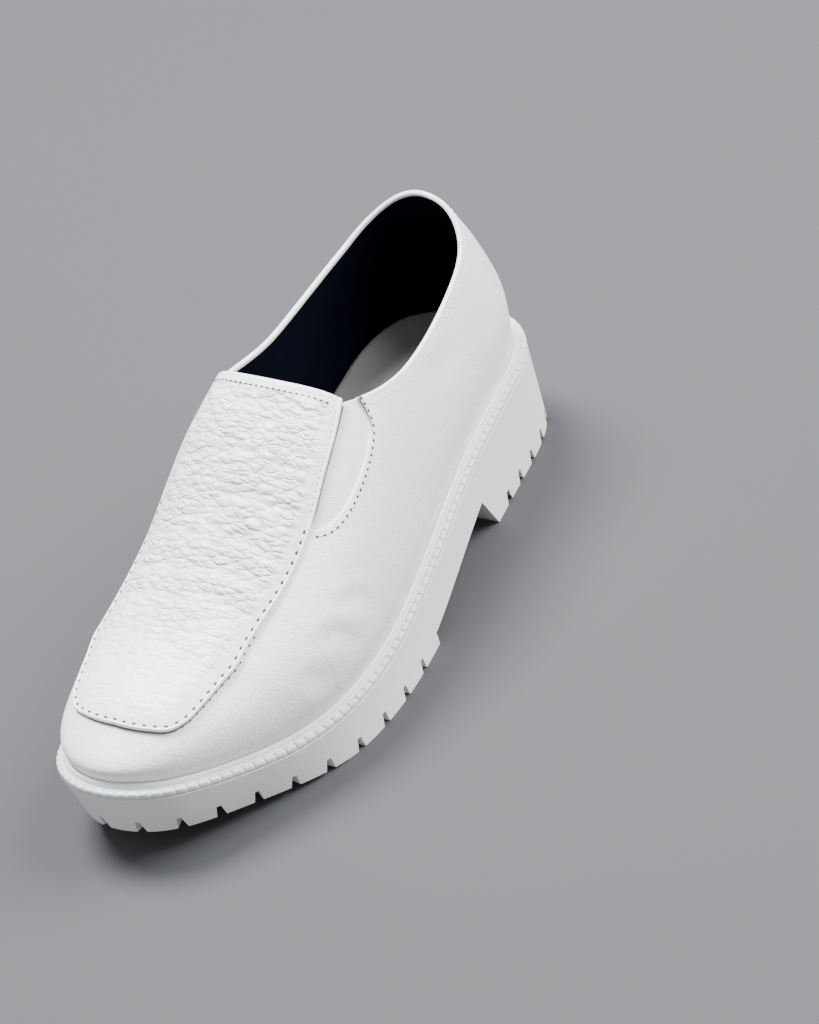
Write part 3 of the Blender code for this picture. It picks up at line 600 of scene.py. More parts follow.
def grain_group():
    """Leather grain: pebbles parted by fine creases, under wavy wrinkles where the leather is tumbled."""
    tree, start, end = group(
        "leather_grain",
        [("Vector", "NodeSocketVector", None), ("Scale", "NodeSocketFloat", 300.0),
         ("Wrinkles", "NodeSocketFloat", 0.5), ("Warp", "NodeSocketFloat", 0.5)],
        [("Height", "NodeSocketFloat"), ("Crease", "NodeSocketFloat")],
    )
    warp = add(tree, "ShaderNodeTexNoise", Detail=3.0)
    tree.links.new(start.outputs["Vector"], warp.inputs["Vector"])
    scale_by(tree, start, 0.75, warp)
    centred = add(tree, "ShaderNodeVectorMath", operation="SUBTRACT")
    tree.links.new(warp.outputs["Color"], centred.inputs[0])
    centred.inputs[1].default_value = (0.5, 0.5, 0.5)
    amount = add(tree, "ShaderNodeVectorMath", operation="SCALE")
    tree.links.new(centred.outputs[0], amount.inputs[0])
    shift = sums(tree, "DIVIDE", start.outputs["Warp"], start.outputs["Scale"])
    tree.links.new(shift, amount.inputs["Scale"])
    moved = add(tree, "ShaderNodeVectorMath", operation="ADD")
    tree.links.new(start.outputs["Vector"], moved.inputs[0])
    tree.links.new(amount.outputs[0], moved.inputs[1])
    heights = []
    for feature, low, high in (("DISTANCE_TO_EDGE", 0.0, 0.16), ("SMOOTH_F1", 0.80, 0.15)):
        cells = add(tree, "ShaderNodeTexVoronoi", feature=feature)
        tree.links.new(moved.outputs[0], cells.inputs["Vector"])
        tree.links.new(start.outputs["Scale"], cells.inputs["Scale"])
        heights.append(mapped(tree, cells.outputs["Distance"], low, high))
    lines = add(tree, "ShaderNodeTexNoise", Detail=1.5, Roughness=0.45)
    tree.links.new(moved.outputs[0], lines.inputs["Vector"])
    scale_by(tree, start, 0.62, lines)
    fold = sums(tree, "ABSOLUTE", sums(tree, "SUBTRACT", lines.outputs["Fac"], 0.5), 0.0)
    ridge = mapped(tree, fold, 0.0, 0.12)
    uneven = add(tree, "ShaderNodeTexNoise", Detail=1.0)
    tree.links.new(start.outputs["Vector"], uneven.inputs["Vector"])
    scale_by(tree, start, 0.30, uneven)
    depth = mapped(tree, uneven.outputs["Fac"], 0.35, 0.62, 0.30, 1.0)
    cell = sums(tree, "SUBTRACT", 1.0, sums(tree, "MULTIPLY", sums(tree, "SUBTRACT", 1.0, heights[0]), depth))
    both = sums(tree, "ADD", sums(tree, "MULTIPLY", cell, 0.28), sums(tree, "MULTIPLY", heights[1], 0.55))
    slow = sums(tree, "MULTIPLY", ridge, start.outputs["Wrinkles"])
    tree.links.new(sums(tree, "ADD", both, slow), end.inputs["Height"])
    tree.links.new(sums(tree, "SUBTRACT", 1.0, sums(tree, "MULTIPLY", cell, ridge)), end.inputs["Crease"])
    return tree


def soil_group():
    """Uneven tone: broad patches and small specks."""
    tree, start, end = group(
        "uneven_tone",
        [("Vector", "NodeSocketVector", None), ("Scale", "NodeSocketFloat", 25.0)],
        [("Patches", "NodeSocketFloat"), ("Specks", "NodeSocketFloat")],
    )
    broad = add(tree, "ShaderNodeTexNoise", Detail=4.0, Roughness=0.6)
    small = add(tree, "ShaderNodeTexNoise", Detail=2.0)
    for node, factor in ((broad, 1.0), (small, 30.0)):
        tree.links.new(start.outputs["Vector"], node.inputs["Vector"])
        scale_by(tree, start, factor, node)
    tree.links.new(mapped(tree, broad.outputs["Fac"], 0.35, 0.70), end.inputs["Patches"])
    tree.links.new(mapped(tree, small.outputs["Fac"], 0.60, 0.75), end.inputs["Specks"])
    return tree


GRAIN = grain_group()
SOIL = soil_group()


class Finish:
    """A Principled material that is put together step by step."""

    def __init__(self, name, color, roughness, **constants):
        self.material = bpy.data.materials.new(name)
        self.material.use_nodes = True
        self.tree = self.material.node_tree
        self.shader = self.tree.nodes["Principled BSDF"]
        self.color = color
        self.shader.inputs["Base Color"].default_value = (*color, 1.0)
        self.shader.inputs["Roughness"].default_value = roughness
        for title, value in constants.items():
            self.shader.inputs[title.replace("_", " ")].default_value = value
        self.material.diffuse_color = (*color, 1.0)
        self.coordinates = self.tree.nodes.new("ShaderNodeTexCoord")
        self.bump_from = None

    def place(self, scale=(1, 1, 1), turn=(0, 0, 0)):
        node = self.tree.nodes.new("ShaderNodeMapping")
        node.inputs["Scale"].default_value = scale
        node.inputs["Rotation"].default_value = [math.radians(value) for value in turn]
        self.tree.links.new(self.coordinates.outputs["Object"], node.inputs["Vector"])
        return node.outputs["Vector"]

    def use(self, tree, vector, **values):
        node = self.tree.nodes.new("ShaderNodeGroup")
        node.node_tree = tree
        self.tree.links.new(vector, node.inputs["Vector"])
        for title, value in values.items():
            node.inputs[title].default_value = value
        return node

    def bump(self, height, distance, strength=1.0):
        node = self.tree.nodes.new("ShaderNodeBump")
        node.inputs["Distance"].default_value = distance
        node.inputs["Strength"].default_value = strength
        self.tree.links.new(height, node.inputs["Height"])
        if self.bump_from:
            self.tree.links.new(self.bump_from, node.inputs["Normal"])
        self.bump_from = node.outputs["Normal"]
        self.tree.links.new(self.bump_from, self.shader.inputs["Normal"])

    def tint(self, factor, share, other):
        """Mixes the base colour towards another by a share of a factor."""
        node = self.tree.nodes.new("ShaderNodeMix")
        node.data_type = "RGBA"
        self.tree.links.new(sums(self.tree, "MULTIPLY", factor, share), node.inputs["Factor"])
        base = self.shader.inputs["Base Color"]
        if base.links:
            self.tree.links.new(base.links[0].from_socket, node.inputs[6])
        else:
            node.inputs[6].default_value = (*self.color, 1.0)
        node.inputs[7].default_value = (*other, 1.0)
        self.tree.links.new(node.outputs[2], base)

    def roughen(self, factor, low, high):
        self.tree.links.new(mapped(self.tree, factor, 0.0, 1.0, low, high), self.shader.inputs["Roughness"])


def apron_finish():
    made = Finish("grained_leather", (0.90, 0.90, 0.895), 0.40, Coat_Weight=0.12, Coat_Roughness=0.28)
    vector = made.place(scale=(0.46, 1.0, 0.7), turn=(0, 0, -10))
    grain = made.use(GRAIN, vector, Scale=410.0, Wrinkles=0.18, Warp=0.95)
    soil = made.use(SOIL, made.place(), Scale=30.0)
    fore = made.tree.nodes.new("ShaderNodeSeparateXYZ")
    made.tree.links.new(made.place(), fore.inputs[0])
    away = mapped(made.tree, fore.outputs["Y"], TOE_CENTRE - 0.030, TOE_CENTRE + 0.030, 0.25, 1.0)
    inside = made.tree.nodes.new("ShaderNodeAttribute")
    inside.attribute_name = "inside"
    strong = sums(made.tree, "MULTIPLY", away, inside.outputs["Fac"])
    crease = sums(made.tree, "MULTIPLY", grain.outputs["Crease"], strong)
    # The creases are drawn darker in the base colour: painted shade in the creases.
    made.tint(crease, 0.48, (0.54, 0.54, 0.545))
    made.tint(soil.outputs["Patches"], 0.15, (0.86, 0.86, 0.855))
    made.roughen(crease, low=0.33, high=0.55)
    made.bump(sums(made.tree, "MULTIPLY", grain.outputs["Height"], strong), distance=0.0014, strength=0.9)
    return made.material


def smooth_finish():
    made = Finish("smooth_leather", (0.875, 0.875, 0.87), 0.42, Coat_Weight=0.10, Coat_Roughness=0.30)
    grain = made.use(GRAIN, made.place(), Scale=760.0, Wrinkles=0.25, Warp=0.9)
    soil = made.use(SOIL, made.place(), Scale=22.0)
    made.tint(soil.outputs["Patches"], 0.30, (0.83, 0.83, 0.83))
    made.roughen(soil.outputs["Patches"], low=0.38, high=0.50)
    made.bump(grain.outputs["Height"], distance=0.00022, strength=0.5)
    return made.material


def rubber_finish(name, color, other, roughness, **constants):
    made = Finish(name, color, roughness, **constants)
    soil = made.use(SOIL, made.place(), Scale=35.0)
    made.tint(soil.outputs["Patches"], 0.5, other)
    made.roughen(soil.outputs["Patches"], roughness - 0.05, roughness + 0.08)
    fine = made.use(SOIL, made.place(), Scale=160.0)
    made.bump(fine.outputs["Patches"], distance=0.00008, strength=0.6)
    return made.material


def elastic_finish():
    """Woven elastic: fine ribs along the gore."""
    made = Finish("elastic", (0.80, 0.80, 0.81), 0.82, Sheen_Weight=0.25, Sheen_Roughness=0.5)
    waves = made.tree.nodes.new("ShaderNodeTexWave")
    waves.bands_direction = "Z"
    waves.inputs["Scale"].default_value = 1.0
    waves.inputs["Distortion"].default_value = 0.6
    waves.inputs["Detail"].default_value = 1.0
    made.tree.links.new(made.place(scale=(300, 300, 420), turn=(28, 0, 0)), waves.inputs["Vector"])
    made.tint(waves.outputs["Fac"], 0.22, (0.68, 0.68, 0.70))
    made.bump(waves.outputs["Fac"], distance=0.00009, strength=0.6)
    return made.material


def plain_finish(name, color, other, roughness, scale, bump, **constants):
    made = Finish(name, color, roughness, **constants)
    soil = made.use(SOIL, made.place(), Scale=scale)
    made.tint(soil.outputs["Patches"], 0.6, other)
    made.bump(soil.outputs["Specks"], bump, strength=0.5)
    return made.material


SMOOTH = smooth_finish()
GRAINED = apron_finish()
ELASTIC = elastic_finish()
SOLE_RUBBER = rubber_finish("sole_rubber", (0.80, 0.81, 0.80), (0.74, 0.755, 0.745), 0.52)
WELT_RUBBER = rubber_finish("welt_rubber", (0.66, 0.70, 0.715), (0.60, 0.645, 0.665), 0.40,
                            Coat_Weight=0.15, Coat_Roughness=0.25)
# Colour, second colour, roughness, scale of the patches and depth of the specks
SOCK = plain_finish("insole_sock", (0.200, 0.200, 0.201), (0.175, 0.175, 0.176), 0.85, 60.0, 0.0001)
NAVY = plain_finish("lining_cloth", (0.0015, 0.0022, 0.0065), (0.0025, 0.003, 0.009), 0.95, 90.0, 0.0001,
                    Specular_IOR_Level=0.04)
# Near-black spots on the stitch holes: painted shade in the holes.
HOLE_SHADE = plain_finish("stitch_hole_shade", (0.045, 0.046, 0.047), (0.09, 0.09, 0.09), 0.85, 400.0, 0.00002)
# Dark grey for cords laid in gaps and under the apron's lip: painted shade.
GAP_SHADE = plain_finish("painted_gap_shade", (0.12, 0.12, 0.125), (0.20, 0.20, 0.205), 0.9, 200.0, 0.00002)
THREAD = plain_finish("white_thread", (0.82, 0.82, 0.81), (0.72, 0.72, 0.72), 0.60, 900.0, 0.00005)


# The upper

# Ends as (side, y, crown angle in degrees), depth and width
CREASES = (
    (((0.0, -0.062, 66), (0.0, -0.052, 74), (0.0, -0.046, 88)), 0.0006, 0.0035),
    (((0.0, -0.048, 64), (0.0, -0.038, 72), (0.0, -0.030, 84)), 0.0005, 0.0032),
    (((0.0, -0.074, 70), (0.0, -0.068, 84), (0.0, -0.066, 96)), 0.0005, 0.0040),
    (((HALF_TURN, -0.060, 66), (HALF_TURN, -0.050, 76), (HALF_TURN, -0.044, 90)), 0.0006, 0.0035),
    (((HALF_TURN, -0.044, 66), (HALF_TURN, -0.036, 78)), 0.0005, 0.0034),
    (((0.0, 0.050, 74), (0.0, 0.062, 82), (0.0, 0.078, 84)), 0.0005, 0.0050),
    (((HALF_TURN, 0.046, 74), (HALF_TURN, 0.060, 82)), 0.0005, 0.0050),
)

OUTER_FRONT, BACK, INNER_FRONT = sections_round(70, 118, 84, 110)


GORE_OVERLAP = 0.0012
# How far the elastic runs on under the leather and under the apron, and how deep it lies
ELASTIC_BELOW = 0.0015
ELASTIC_ABOVE = 0.0030
ELASTIC_DEPTH = 0.0008
LINING_GAP = 0.00005
FLAT_REACH = 0.022
FLAT_DEPTH = 0.0005
EDGE_ROWS = 9


def leather_top(section):
    """The crown angle of the leather's upper edge: under the apron, round the gore, or at the topline."""
    edge = apron_angle(section)
    depth = gore_depth(section.y)
    if section.y > THROAT:
        return max(collar_angle(section), section.further(edge, depth - GORE_OVERLAP))
    tuck = 0.0035 * (1 - float(smooth_step(depth / 0.0015)))
    return section.further(edge, depth - tuck - GORE_OVERLAP)


def rolled(points, patch, degrees, inwards, over):
    """Rows that turn over the upper edge of some points."""
    turns = np.radians(degrees)[:, None]
    edge, up, normal = points[:, -1:], patch.up[:, -1:], patch.normals[:, -1:]
    return edge - normal * (inwards * (1 - np.cos(turns))) + up * (over * np.sin(turns))


def build_leather():
    sections = OUTER_FRONT + BACK + INNER_FRONT[:-1]
    foot = np.linspace(HALF_TURN, QUARTER_TURN, 9)
    rows = []
    for section in sections:
        wall = np.linspace(QUARTER_TURN, leather_top(section), 53)[1:]
        rows.append(np.concatenate([foot, wall]))
    patch = Patch(sections, rows, closed=True)
    points = pressed(patch.points, patch.normals, CREASES)
    points = rippled(points, patch.normals, size=0.021, height=0.00035, seed=3.7)
    kept = np.clip((len(rows[0]) - 1 - np.arange(len(rows[0]))) / EDGE_ROWS, 0, 1)[None, :, None]
    points = patch.points + (points - patch.points) * kept
    place = np.arange(len(rows[0])) / (len(rows[0]) - 1)
    toe = np.array([toe_share(section) * (section.y <= TOE_CENTRE + FLAT_REACH) for section in sections])
    flat = FLAT_DEPTH * toe[:, None] * np.sin(HALF_TURN * place[None, :] ** 0.8)
    points = points - patch.normals * flat[..., None]
    tuck = points[:, :1].copy()
    tuck[..., 2] = np.array([section.seat for section in sections])[:, None] + 0.0005
    roll = rolled(points, patch, [25, 55, 90, 125, 155, 180], inwards=UPPER_WALL / 2, over=0.0007)
    inside = points[:, -1:] - patch.normals[:, -1:] * UPPER_WALL - patch.up[:, -1:] * [[0.0012], [0.0026]]
    grid = np.concatenate([tuck, points, roll, inside], axis=1)
    piece = grids_object("upper_leather", [grid], SMOOTH, closed=True)
    stands_for("upper")


def build_lining():
    outer_front, back, inner_front = sections_round(30, 36, 24, 50)
    loop = outer_front + back + inner_front[:-1]
    walls = []
    foot = np.linspace(HALF_TURN, QUARTER_TURN, 5)
    for section in loop:
        fore = section.y <= THROAT
        top = apron_angle(section) if fore else section.further(collar_angle(section), 0.0010)
        walls.append(np.concatenate([foot, np.linspace(QUARTER_TURN, top, 15)[1:]]))
    wall = Patch(loop, walls, closed=True)
    grid = wall.lifted(-UPPER_WALL - LINING_GAP)
    tuck = grid[:, :1].copy()
    tuck[..., 2] -= WELT_HEIGHT
    grids_object("lining_wall", [np.concatenate([tuck, grid], axis=1)], NAVY, closed=True)
    crowns = []
    for front in (outer_front, inner_front):
        rows = [np.linspace(apron_angle(section), 0, 13) for section in front]
        patch = Patch(front, rows)
        under = patch.lifted(-UPPER_WALL - LINING_GAP)
        crowns.append(dipped(under, patch.points, np.array(rows)))
    grids_object("lining_crown", crowns, NAVY)


# The apron's border, in mm: how far in from its lip, and how high over the leather at the sides and the toe
APRON_BORDER = (
    # in from the lip, height at the sides, height at the toe
    (3.0, 0.10, 0.10), (0.9, 0.12, 0.12), (0.40, 0.22, 0.30), (0.10, 0.45, 0.62), (0.0, 0.75, 1.00),
    (0.08, 1.02, 1.40), (0.26, 1.24, 1.76), (0.52, 1.38, 1.98), (0.82, 1.44, 2.05), (1.10, 1.40, 1.94),
    (1.36, 1.28, 1.70), (1.60, 1.12, 1.44), (1.85, 1.10, 1.40), (2.20, 1.24, 1.54), (3.0, 1.46, 1.72),
    (4.8, 1.70, 1.84), (8.0, 1.86, 1.90),
)
STITCH_DEPTH = 0.0018
# The grain begins and is full at these distances from the lip, in mm
GRAIN_START = 2.6
GRAIN_FULL = 8.0
CROWN_ROWS = 38


def toe_share(section):
    """1 round the toe and 0 along the sides."""
    return float(1 - smooth_step((section.y - TOE_CENTRE) / 0.045))


def apron_profile(section):
    """Crown angles and lifts of one column of the apron, from under its edge to the ridge."""
    lip = section.further(apron_angle(section), APRON_LIP)
    toe = toe_share(section)
    lifts = (column(APRON_BORDER, 1) * (1 - toe) + column(APRON_BORDER, 2) * toe) * MM
    angles = section.further(lip, -column(APRON_BORDER, 0) * MM)
    inner = np.linspace(angles[-1], 0, CROWN_ROWS + 1)[1:]
    return np.concatenate([angles, inner]), np.concatenate([lifts, np.full(len(inner), APRON_LIFT)])


def fold_back(points, normals, along):
    """Extra columns past the throat: the apron turns over and runs back under itself."""
    turns = np.radians([20, 45, 70, 95, 120, 150, 180])
    columns = [points + along * FOLD_RADIUS * math.sin(turn) - normals * FOLD_RADIUS * (1 - math.cos(turn))
               for turn in turns]
    for back in (0.002, 0.006, 0.010):
        columns.append(points - along * back - normals * 2 * FOLD_RADIUS)
    return columns


FOLD_RADIUS = 0.00125
APRON_CREASES = (
    (((0.0, -0.070, 48), (0.0, -0.066, 20), (HALF_TURN, -0.068, 22), (HALF_TURN, -0.074, 46)),
     0.0005, 0.0030),
    (((0.0, -0.058, 50), (0.0, -0.055, 24), (HALF_TURN, -0.057, 18), (HALF_TURN, -0.062, 44)),
     0.0005, 0.0028),
    (((0.0, -0.045, 46), (0.0, -0.043, 14), (HALF_TURN, -0.047, 30)), 0.0004, 0.0026),
    (((0.0, -0.030, 44), (0.0, -0.030, 12), (HALF_TURN, -0.034, 36)), 0.0004, 0.0026),
)


THROAT_DIP = 0.0042
DIP_REACH = 0.020
DIP_HALF_ANGLE = math.radians(31)


def dipped(points, places, angles):
    """Draws the throat's edge towards the toe at its middle."""
    near = smooth_step((places[..., 1] - THROAT + DIP_REACH) / DIP_REACH)
    dip = THROAT_DIP * np.cos(QUARTER_TURN * np.minimum(angles / DIP_HALF_ANGLE, 1.2))
    step = unit(np.stack([0 * dip, np.ones_like(dip), ridge_slope(places[..., 1])], axis=-1))
    return points - step * (near * dip)[..., None]


def build_apron():
    grids = []
    values = []
    for front, at_end in ((OUTER_FRONT, True), (INNER_FRONT, False)):
        angles, lifts = zip(*[apron_profile(section) for section in front])
        patch = Patch(front, angles)
        points = pressed(patch.points, patch.normals, APRON_CREASES)
        points = rippled(points, patch.normals, size=0.012, height=0.00035, seed=9.1)
        inwards = np.append(column(APRON_BORDER, 0), np.full(len(angles[0]) - len(APRON_BORDER), 9.0))
        inwards[:3] = 0
        inside = smooth_step((inwards - GRAIN_START) / (GRAIN_FULL - GRAIN_START))
        points = patch.points + (points - patch.points) * inside[None, :, None]
        points = dipped(points + patch.normals * np.array(lifts)[..., None], patch.points, np.array(angles))
        last = -1 if at_end else 0
        before = -3 if at_end else 2
        along = unit(points[last] - points[before])
        extra = fold_back(points[last], patch.normals[last], along)
        if at_end:
            points = np.concatenate([points, np.array(extra)])
        else:
            points = np.concatenate([np.array(extra[::-1]), points])
        grids.append(points)
        grained = np.broadcast_to(inside, points.shape[:2]).copy()
        edge = len(extra) + 3
        grained[slice(-edge, None) if at_end else slice(edge)] = 0.0
        values.append(grained)
    piece = grids_object("apron_leather", grids, GRAINED, values=values)
    stands_for("apron")


def build_gores():
    for name, side_angle in SIDES:
        share = end_crowded(61)
        ys = THROAT + GORE_BACK - share * (GORE_RUN + GORE_BACK)
        sections = []
        rows = []
        for y in ys:
            section = Section(y, side_angle)
            edge = apron_angle(section)
            low = section.further(edge, gore_depth(y) + ELASTIC_BELOW)
            top = section.further(edge, -ELASTIC_ABOVE)
            if y > THROAT:
                top = max(top, collar_angle(section))
                low = max(low, section.further(top, 0.0006))
            sections.append(section)
            rows.append(np.linspace(low, top, 25))
        if not side_angle:
            sections.reverse()
            rows.reverse()
        patch = Patch(sections, rows)
        points = patch.lifted(-ELASTIC_DEPTH)
        roll = rolled(points, patch, [45, 90, 135, 180], inwards=0.0005, over=0.0004)
        points = np.concatenate([points, roll], axis=1)
        faces = grid_faces(*points.shape[:2])
        piece = mesh_object("gore_cloth_" + name, points.reshape(-1, 3), faces, ELASTIC)
        stands_for("gore_" + name)


# Stitches


def stitch_row(name, points, normals, pitch, hole_shade=None, thread=None):
    """A row of stitches on a line: dark ellipsoids of some half sizes as painted shade in the holes, and
    threads that run between them. A thread's sizes are its share of the way, its half width and its half
    height."""
    run = runs_of(points)
    count = max(int(run[-1] / pitch), 2)
    at = (np.arange(count) + 0.5) * run[-1] / count
    spots = points_at(at, run, points)
    outs = unit(points_at(at, run, normals))
    along = unit(np.gradient(spots, axis=0))
    side = unit(np.cross(outs, along))
    outs = np.cross(along, side)
    axes = np.stack([along, side, outs], axis=1)
    if hole_shade:
        # Dark ellipsoids on the surface at each hole: painted shade in the holes.
        mesh_points, faces = tile(*ball_mesh(hole_shade), spots, axes)
        mesh_object(name + "_hole_shades", mesh_points, faces, HOLE_SHADE)
    if thread:
        middle = (spots[:-1] + spots[1:]) / 2
        gaps = spots[1:] - spots[:-1]
        half = np.linalg.norm(gaps, axis=1) / 2
        way = unit(gaps)
        out = unit(outs[:-1] + outs[1:])
        across = unit(np.cross(out, way))
        out = np.cross(way, across)
        axes = np.stack([way * half[:, None] * thread[0], across * thread[1], out * thread[2]], axis=1)
        mesh_points, faces = tile(*ball_mesh((1.0, 1.0, 1.0), 8, 6), middle, axes)
        mesh_object(name + "_threads", mesh_points, faces, THREAD)


def tapered_cord(name, points, radii, material):
    """A round cord through points, with its own radius at each."""
    along = unit(np.gradient(points, axis=0))
    side = unit(np.cross(along, [0.0, 0.0, 1.0]))
    out = np.cross(side, along)
    turns = np.linspace(0, 2 * math.pi, 9)[:-1]
    ring = side[:, None] * np.cos(turns)[None, :, None] + out[:, None] * np.sin(turns)[None, :, None]
    grid = points[:, None] + ring * np.asarray(radii)[:, None, None]
    faces = []
    for i in range(len(points) - 1):
        for j in range(8):
            k = (j + 1) % 8
            faces.append([i * 8 + j, i * 8 + k, (i + 1) * 8 + k, (i + 1) * 8 + j])
    faces += [list(range(8))[::-1], [(len(points) - 1) * 8 + j for j in range(8)]]
    return mesh_object(name, grid.reshape(-1, 3), faces, material)


def lip_angle(section, length):
    """The crown angle at a length outwards from the apron's lip."""
    return section.further(apron_angle(section), APRON_LIP + length)


def no_lift(section):
    return 0.0


def line_on(sections, angle_of, lift_of=no_lift):
    patch = Patch(sections, [[angle_of(section)] for section in sections])
    normals = patch.normals[:, 0]
    return patch.points[:, 0] + normals * np.array([[lift_of(section)] for section in sections]), normals


def joined_line(limit, angle_of, lift_of=no_lift):
    """A line round the front of the shoe, from its inner to its outer side."""
    parts = []
    for front in (INNER_FRONT[:-1], OUTER_FRONT):
        sections = [section for section in front if section.y <= limit]
        parts.append(line_on(sections, angle_of, lift_of))
    return [np.vstack(pair) for pair in zip(*parts)]


def build_stitches():
    points, normals = joined_line(
        THROAT - GORE_RUN + 0.001,
        lambda section: lip_angle(section, -STITCH_DEPTH),
        lambda section: (1.12 + 0.30 * toe_share(section)) * MM,
    )
    stitch_row("apron_stitch", points, normals, pitch=0.0041,
               hole_shade=(0.00090, 0.00066, 0.00038), thread=(0.48, 0.00034, 0.00030))
    for name, front in (("outer", OUTER_FRONT), ("inner", INNER_FRONT)):
        beside = [section for section in front if THROAT - GORE_RUN + 0.004 < section.y < THROAT - 0.002]
        points, normals = line_on(
            beside, lambda section: lip_angle(section, -STITCH_DEPTH), lambda section: 1.15 * MM
        )
        stitch_row("gore_lip_stitch_" + name, points, normals, pitch=0.0026,
                   hole_shade=(0.00034, 0.00026, 0.00020), thread=(0.55, 0.00028, 0.00022))
    points, normals = joined_line(TOE_CENTRE + 0.012, lambda section: lip_angle(section, 0.0001))
    stitch_row("toe_stitch", points, normals, pitch=0.0036, hole_shade=(0.00050, 0.00038, 0.00026))
    # A thin dark cord at the foot of the lip round the toe: painted shadow under the lip.
    points, normals = joined_line(TOE_CENTRE, lambda section: lip_angle(section, -0.00005))
    share = runs_of(points) / runs_of(points)[-1] * HALF_TURN
    tapered_cord("toe_shadow", points, 0.00004 + 0.00042 * np.sin(share) ** 2, GAP_SHADE)

    halves = []
    for side_angle, order in ((HALF_TURN, 1), (0.0, -1)):
        section = Section(THROAT - 0.0024, side_angle)
        start = section.further(apron_angle(section), -0.0035)
        angles = np.linspace(start, 0, 40)[::order]
        patch = Patch([Section(section.y - MM, side_angle), section], [angles, angles])
        flip = np.where(patch.normals[1][:, 2:] < 0, -1, 1)
        normals = patch.normals[1] * flip
        halves.append((dipped(patch.points[1] + normals * 0.00195, patch.points[1], angles), normals))
    points = np.vstack([halves[0][0], halves[1][0][1:]])
    normals = np.vstack([halves[0][1], halves[1][1][1:]])
    stitch_row("throat_stitch", points, normals, pitch=0.0024,
               hole_shade=(0.00062, 0.00044, 0.00030), thread=(0.50, 0.00030, 0.00026))

    for name, side_angle in SIDES:
        points = []
        normals = []
        for y in np.linspace(THROAT + GORE_BACK + 0.0006, THROAT - GORE_RUN - 0.0004, 160):
            section = Section(y, side_angle)
            edge = apron_angle(section)
            depth = max(gore_depth(y + delta) for delta in (-0.0010, 0.0, 0.0010)) + 0.0004
            angle = section.further(edge, depth)
            if y > THROAT and angle < collar_angle(section) + 0.02:
                continue
            points.append(section.point(angle))
            ahead = Section(y - MM, side_angle).point(angle) - points[-1]
            above = section.point(angle - 0.01) - points[-1]
            normal = np.cross(ahead, above)
            normals.append(normal * (1 if normal[0] * math.cos(side_angle) > 0 else -1))
        stitch_row("gore_stitch_" + name, np.array(points), unit(np.array(normals)), pitch=0.0029,
                   hole_shade=(0.00068, 0.00050, 0.00030), thread=(0.52, 0.00030, 0.00024))

        # A dark tapered cord along the apron's lip beside the gore: painted shade in the gap between lip and
        # elastic.
        ys = np.linspace(THROAT - 0.0002, THROAT - GORE_RUN + 0.002, 60)
        beside = [Section(y, side_angle) for y in ys]
        line = np.array([section.point(lip_angle(section, 0.0001)) for section in beside])
        radii = np.interp(np.arange(60), [0, 4, 16, 52, 59], [0.00120, 0.00090, 0.00060, 0.00042, 0.00004])
        tapered_cord("gore_gap_shade_" + name, line, radii, GAP_SHADE)

        # A dark tapered cord along the leather's edge at the back of the gore, thickest at the top: painted
        # shade in the notch.
        ys = np.linspace(THROAT + GORE_BACK - 0.0003, THROAT + GORE_BACK - 0.0075, 40)
        beside = [Section(y, side_angle) for y in ys]
        fold = [section.further(apron_angle(section), gore_depth(section.y) - 0.0007) for section in beside]
        line = np.array([section.point(max(angle, collar_angle(section)))
                         for section, angle in zip(beside, fold)])
        radii = np.interp(np.arange(40), [0, 5, 39], [0.00090, 0.00048, 0.00005])
        tapered_cord("gore_fold_shade_" + name, line, radii, GAP_SHADE)

    points, normals = line_on(
        BACK[14:-14], lambda section: section.further(collar_angle(section), 0.0034)
    )
    stitch_row("collar_stitch", points, normals, pitch=0.0026, thread=(0.66, 0.00034, 0.00030))


# Insole and welt


INSOLE_LIFT = 0.0080

# How far the insole's edge curls up, in mm
INSOLE_EDGE = (
    # along, rise
    (0.040, 0.3), (0.058, 2.2), (0.080, 4.6), (0.105, 5.8), (0.130, 6.1), (0.155, 5.6), (0.185, 4.1),
    (0.215, 2.2), (0.250, 0.8), (0.300, 0.5),
)


def build_insole():
    """A footbed with a cup at the heel."""
    ring = offset(SOLE_RING, -(WELT_WIDTH + UPPER_WALL - 0.0006))
    outer, inner = split_ring(ring)
    y = outer[0, 1] + end_crowded(161) * (outer[-1, 1] - outer[0, 1])
    outer_x = np.interp(y, outer[:, 1], outer[:, 0])
    inner_x = np.interp(y, inner[:, 1], inner[:, 0])
    across = np.linspace(-1, 1, 41)
    rows = []
    for i in range(len(y)):
        middle, half = (outer_x[i] + inner_x[i]) / 2, (outer_x[i] - inner_x[i]) / 2
        x = middle + half * across
        base = sole_top(y[i]) + INSOLE_LIFT
        rise = table_curve(INSOLE_EDGE, along_of(y[i])) * MM
        z = base + rise * np.abs(across) ** 3.2
        rows.append(np.column_stack([x, np.full_like(x, y[i]), z]))
    rows = np.array(rows)
    low = rows[:, [0, -1]].copy()
    low[..., 2] -= 0.003
    grid = np.concatenate([low[:, :1], rows, low[:, 1:]], axis=1)
    piece = grids_object("insole_sock", [grid[::-1]], SOCK)
    stands_for("insole")


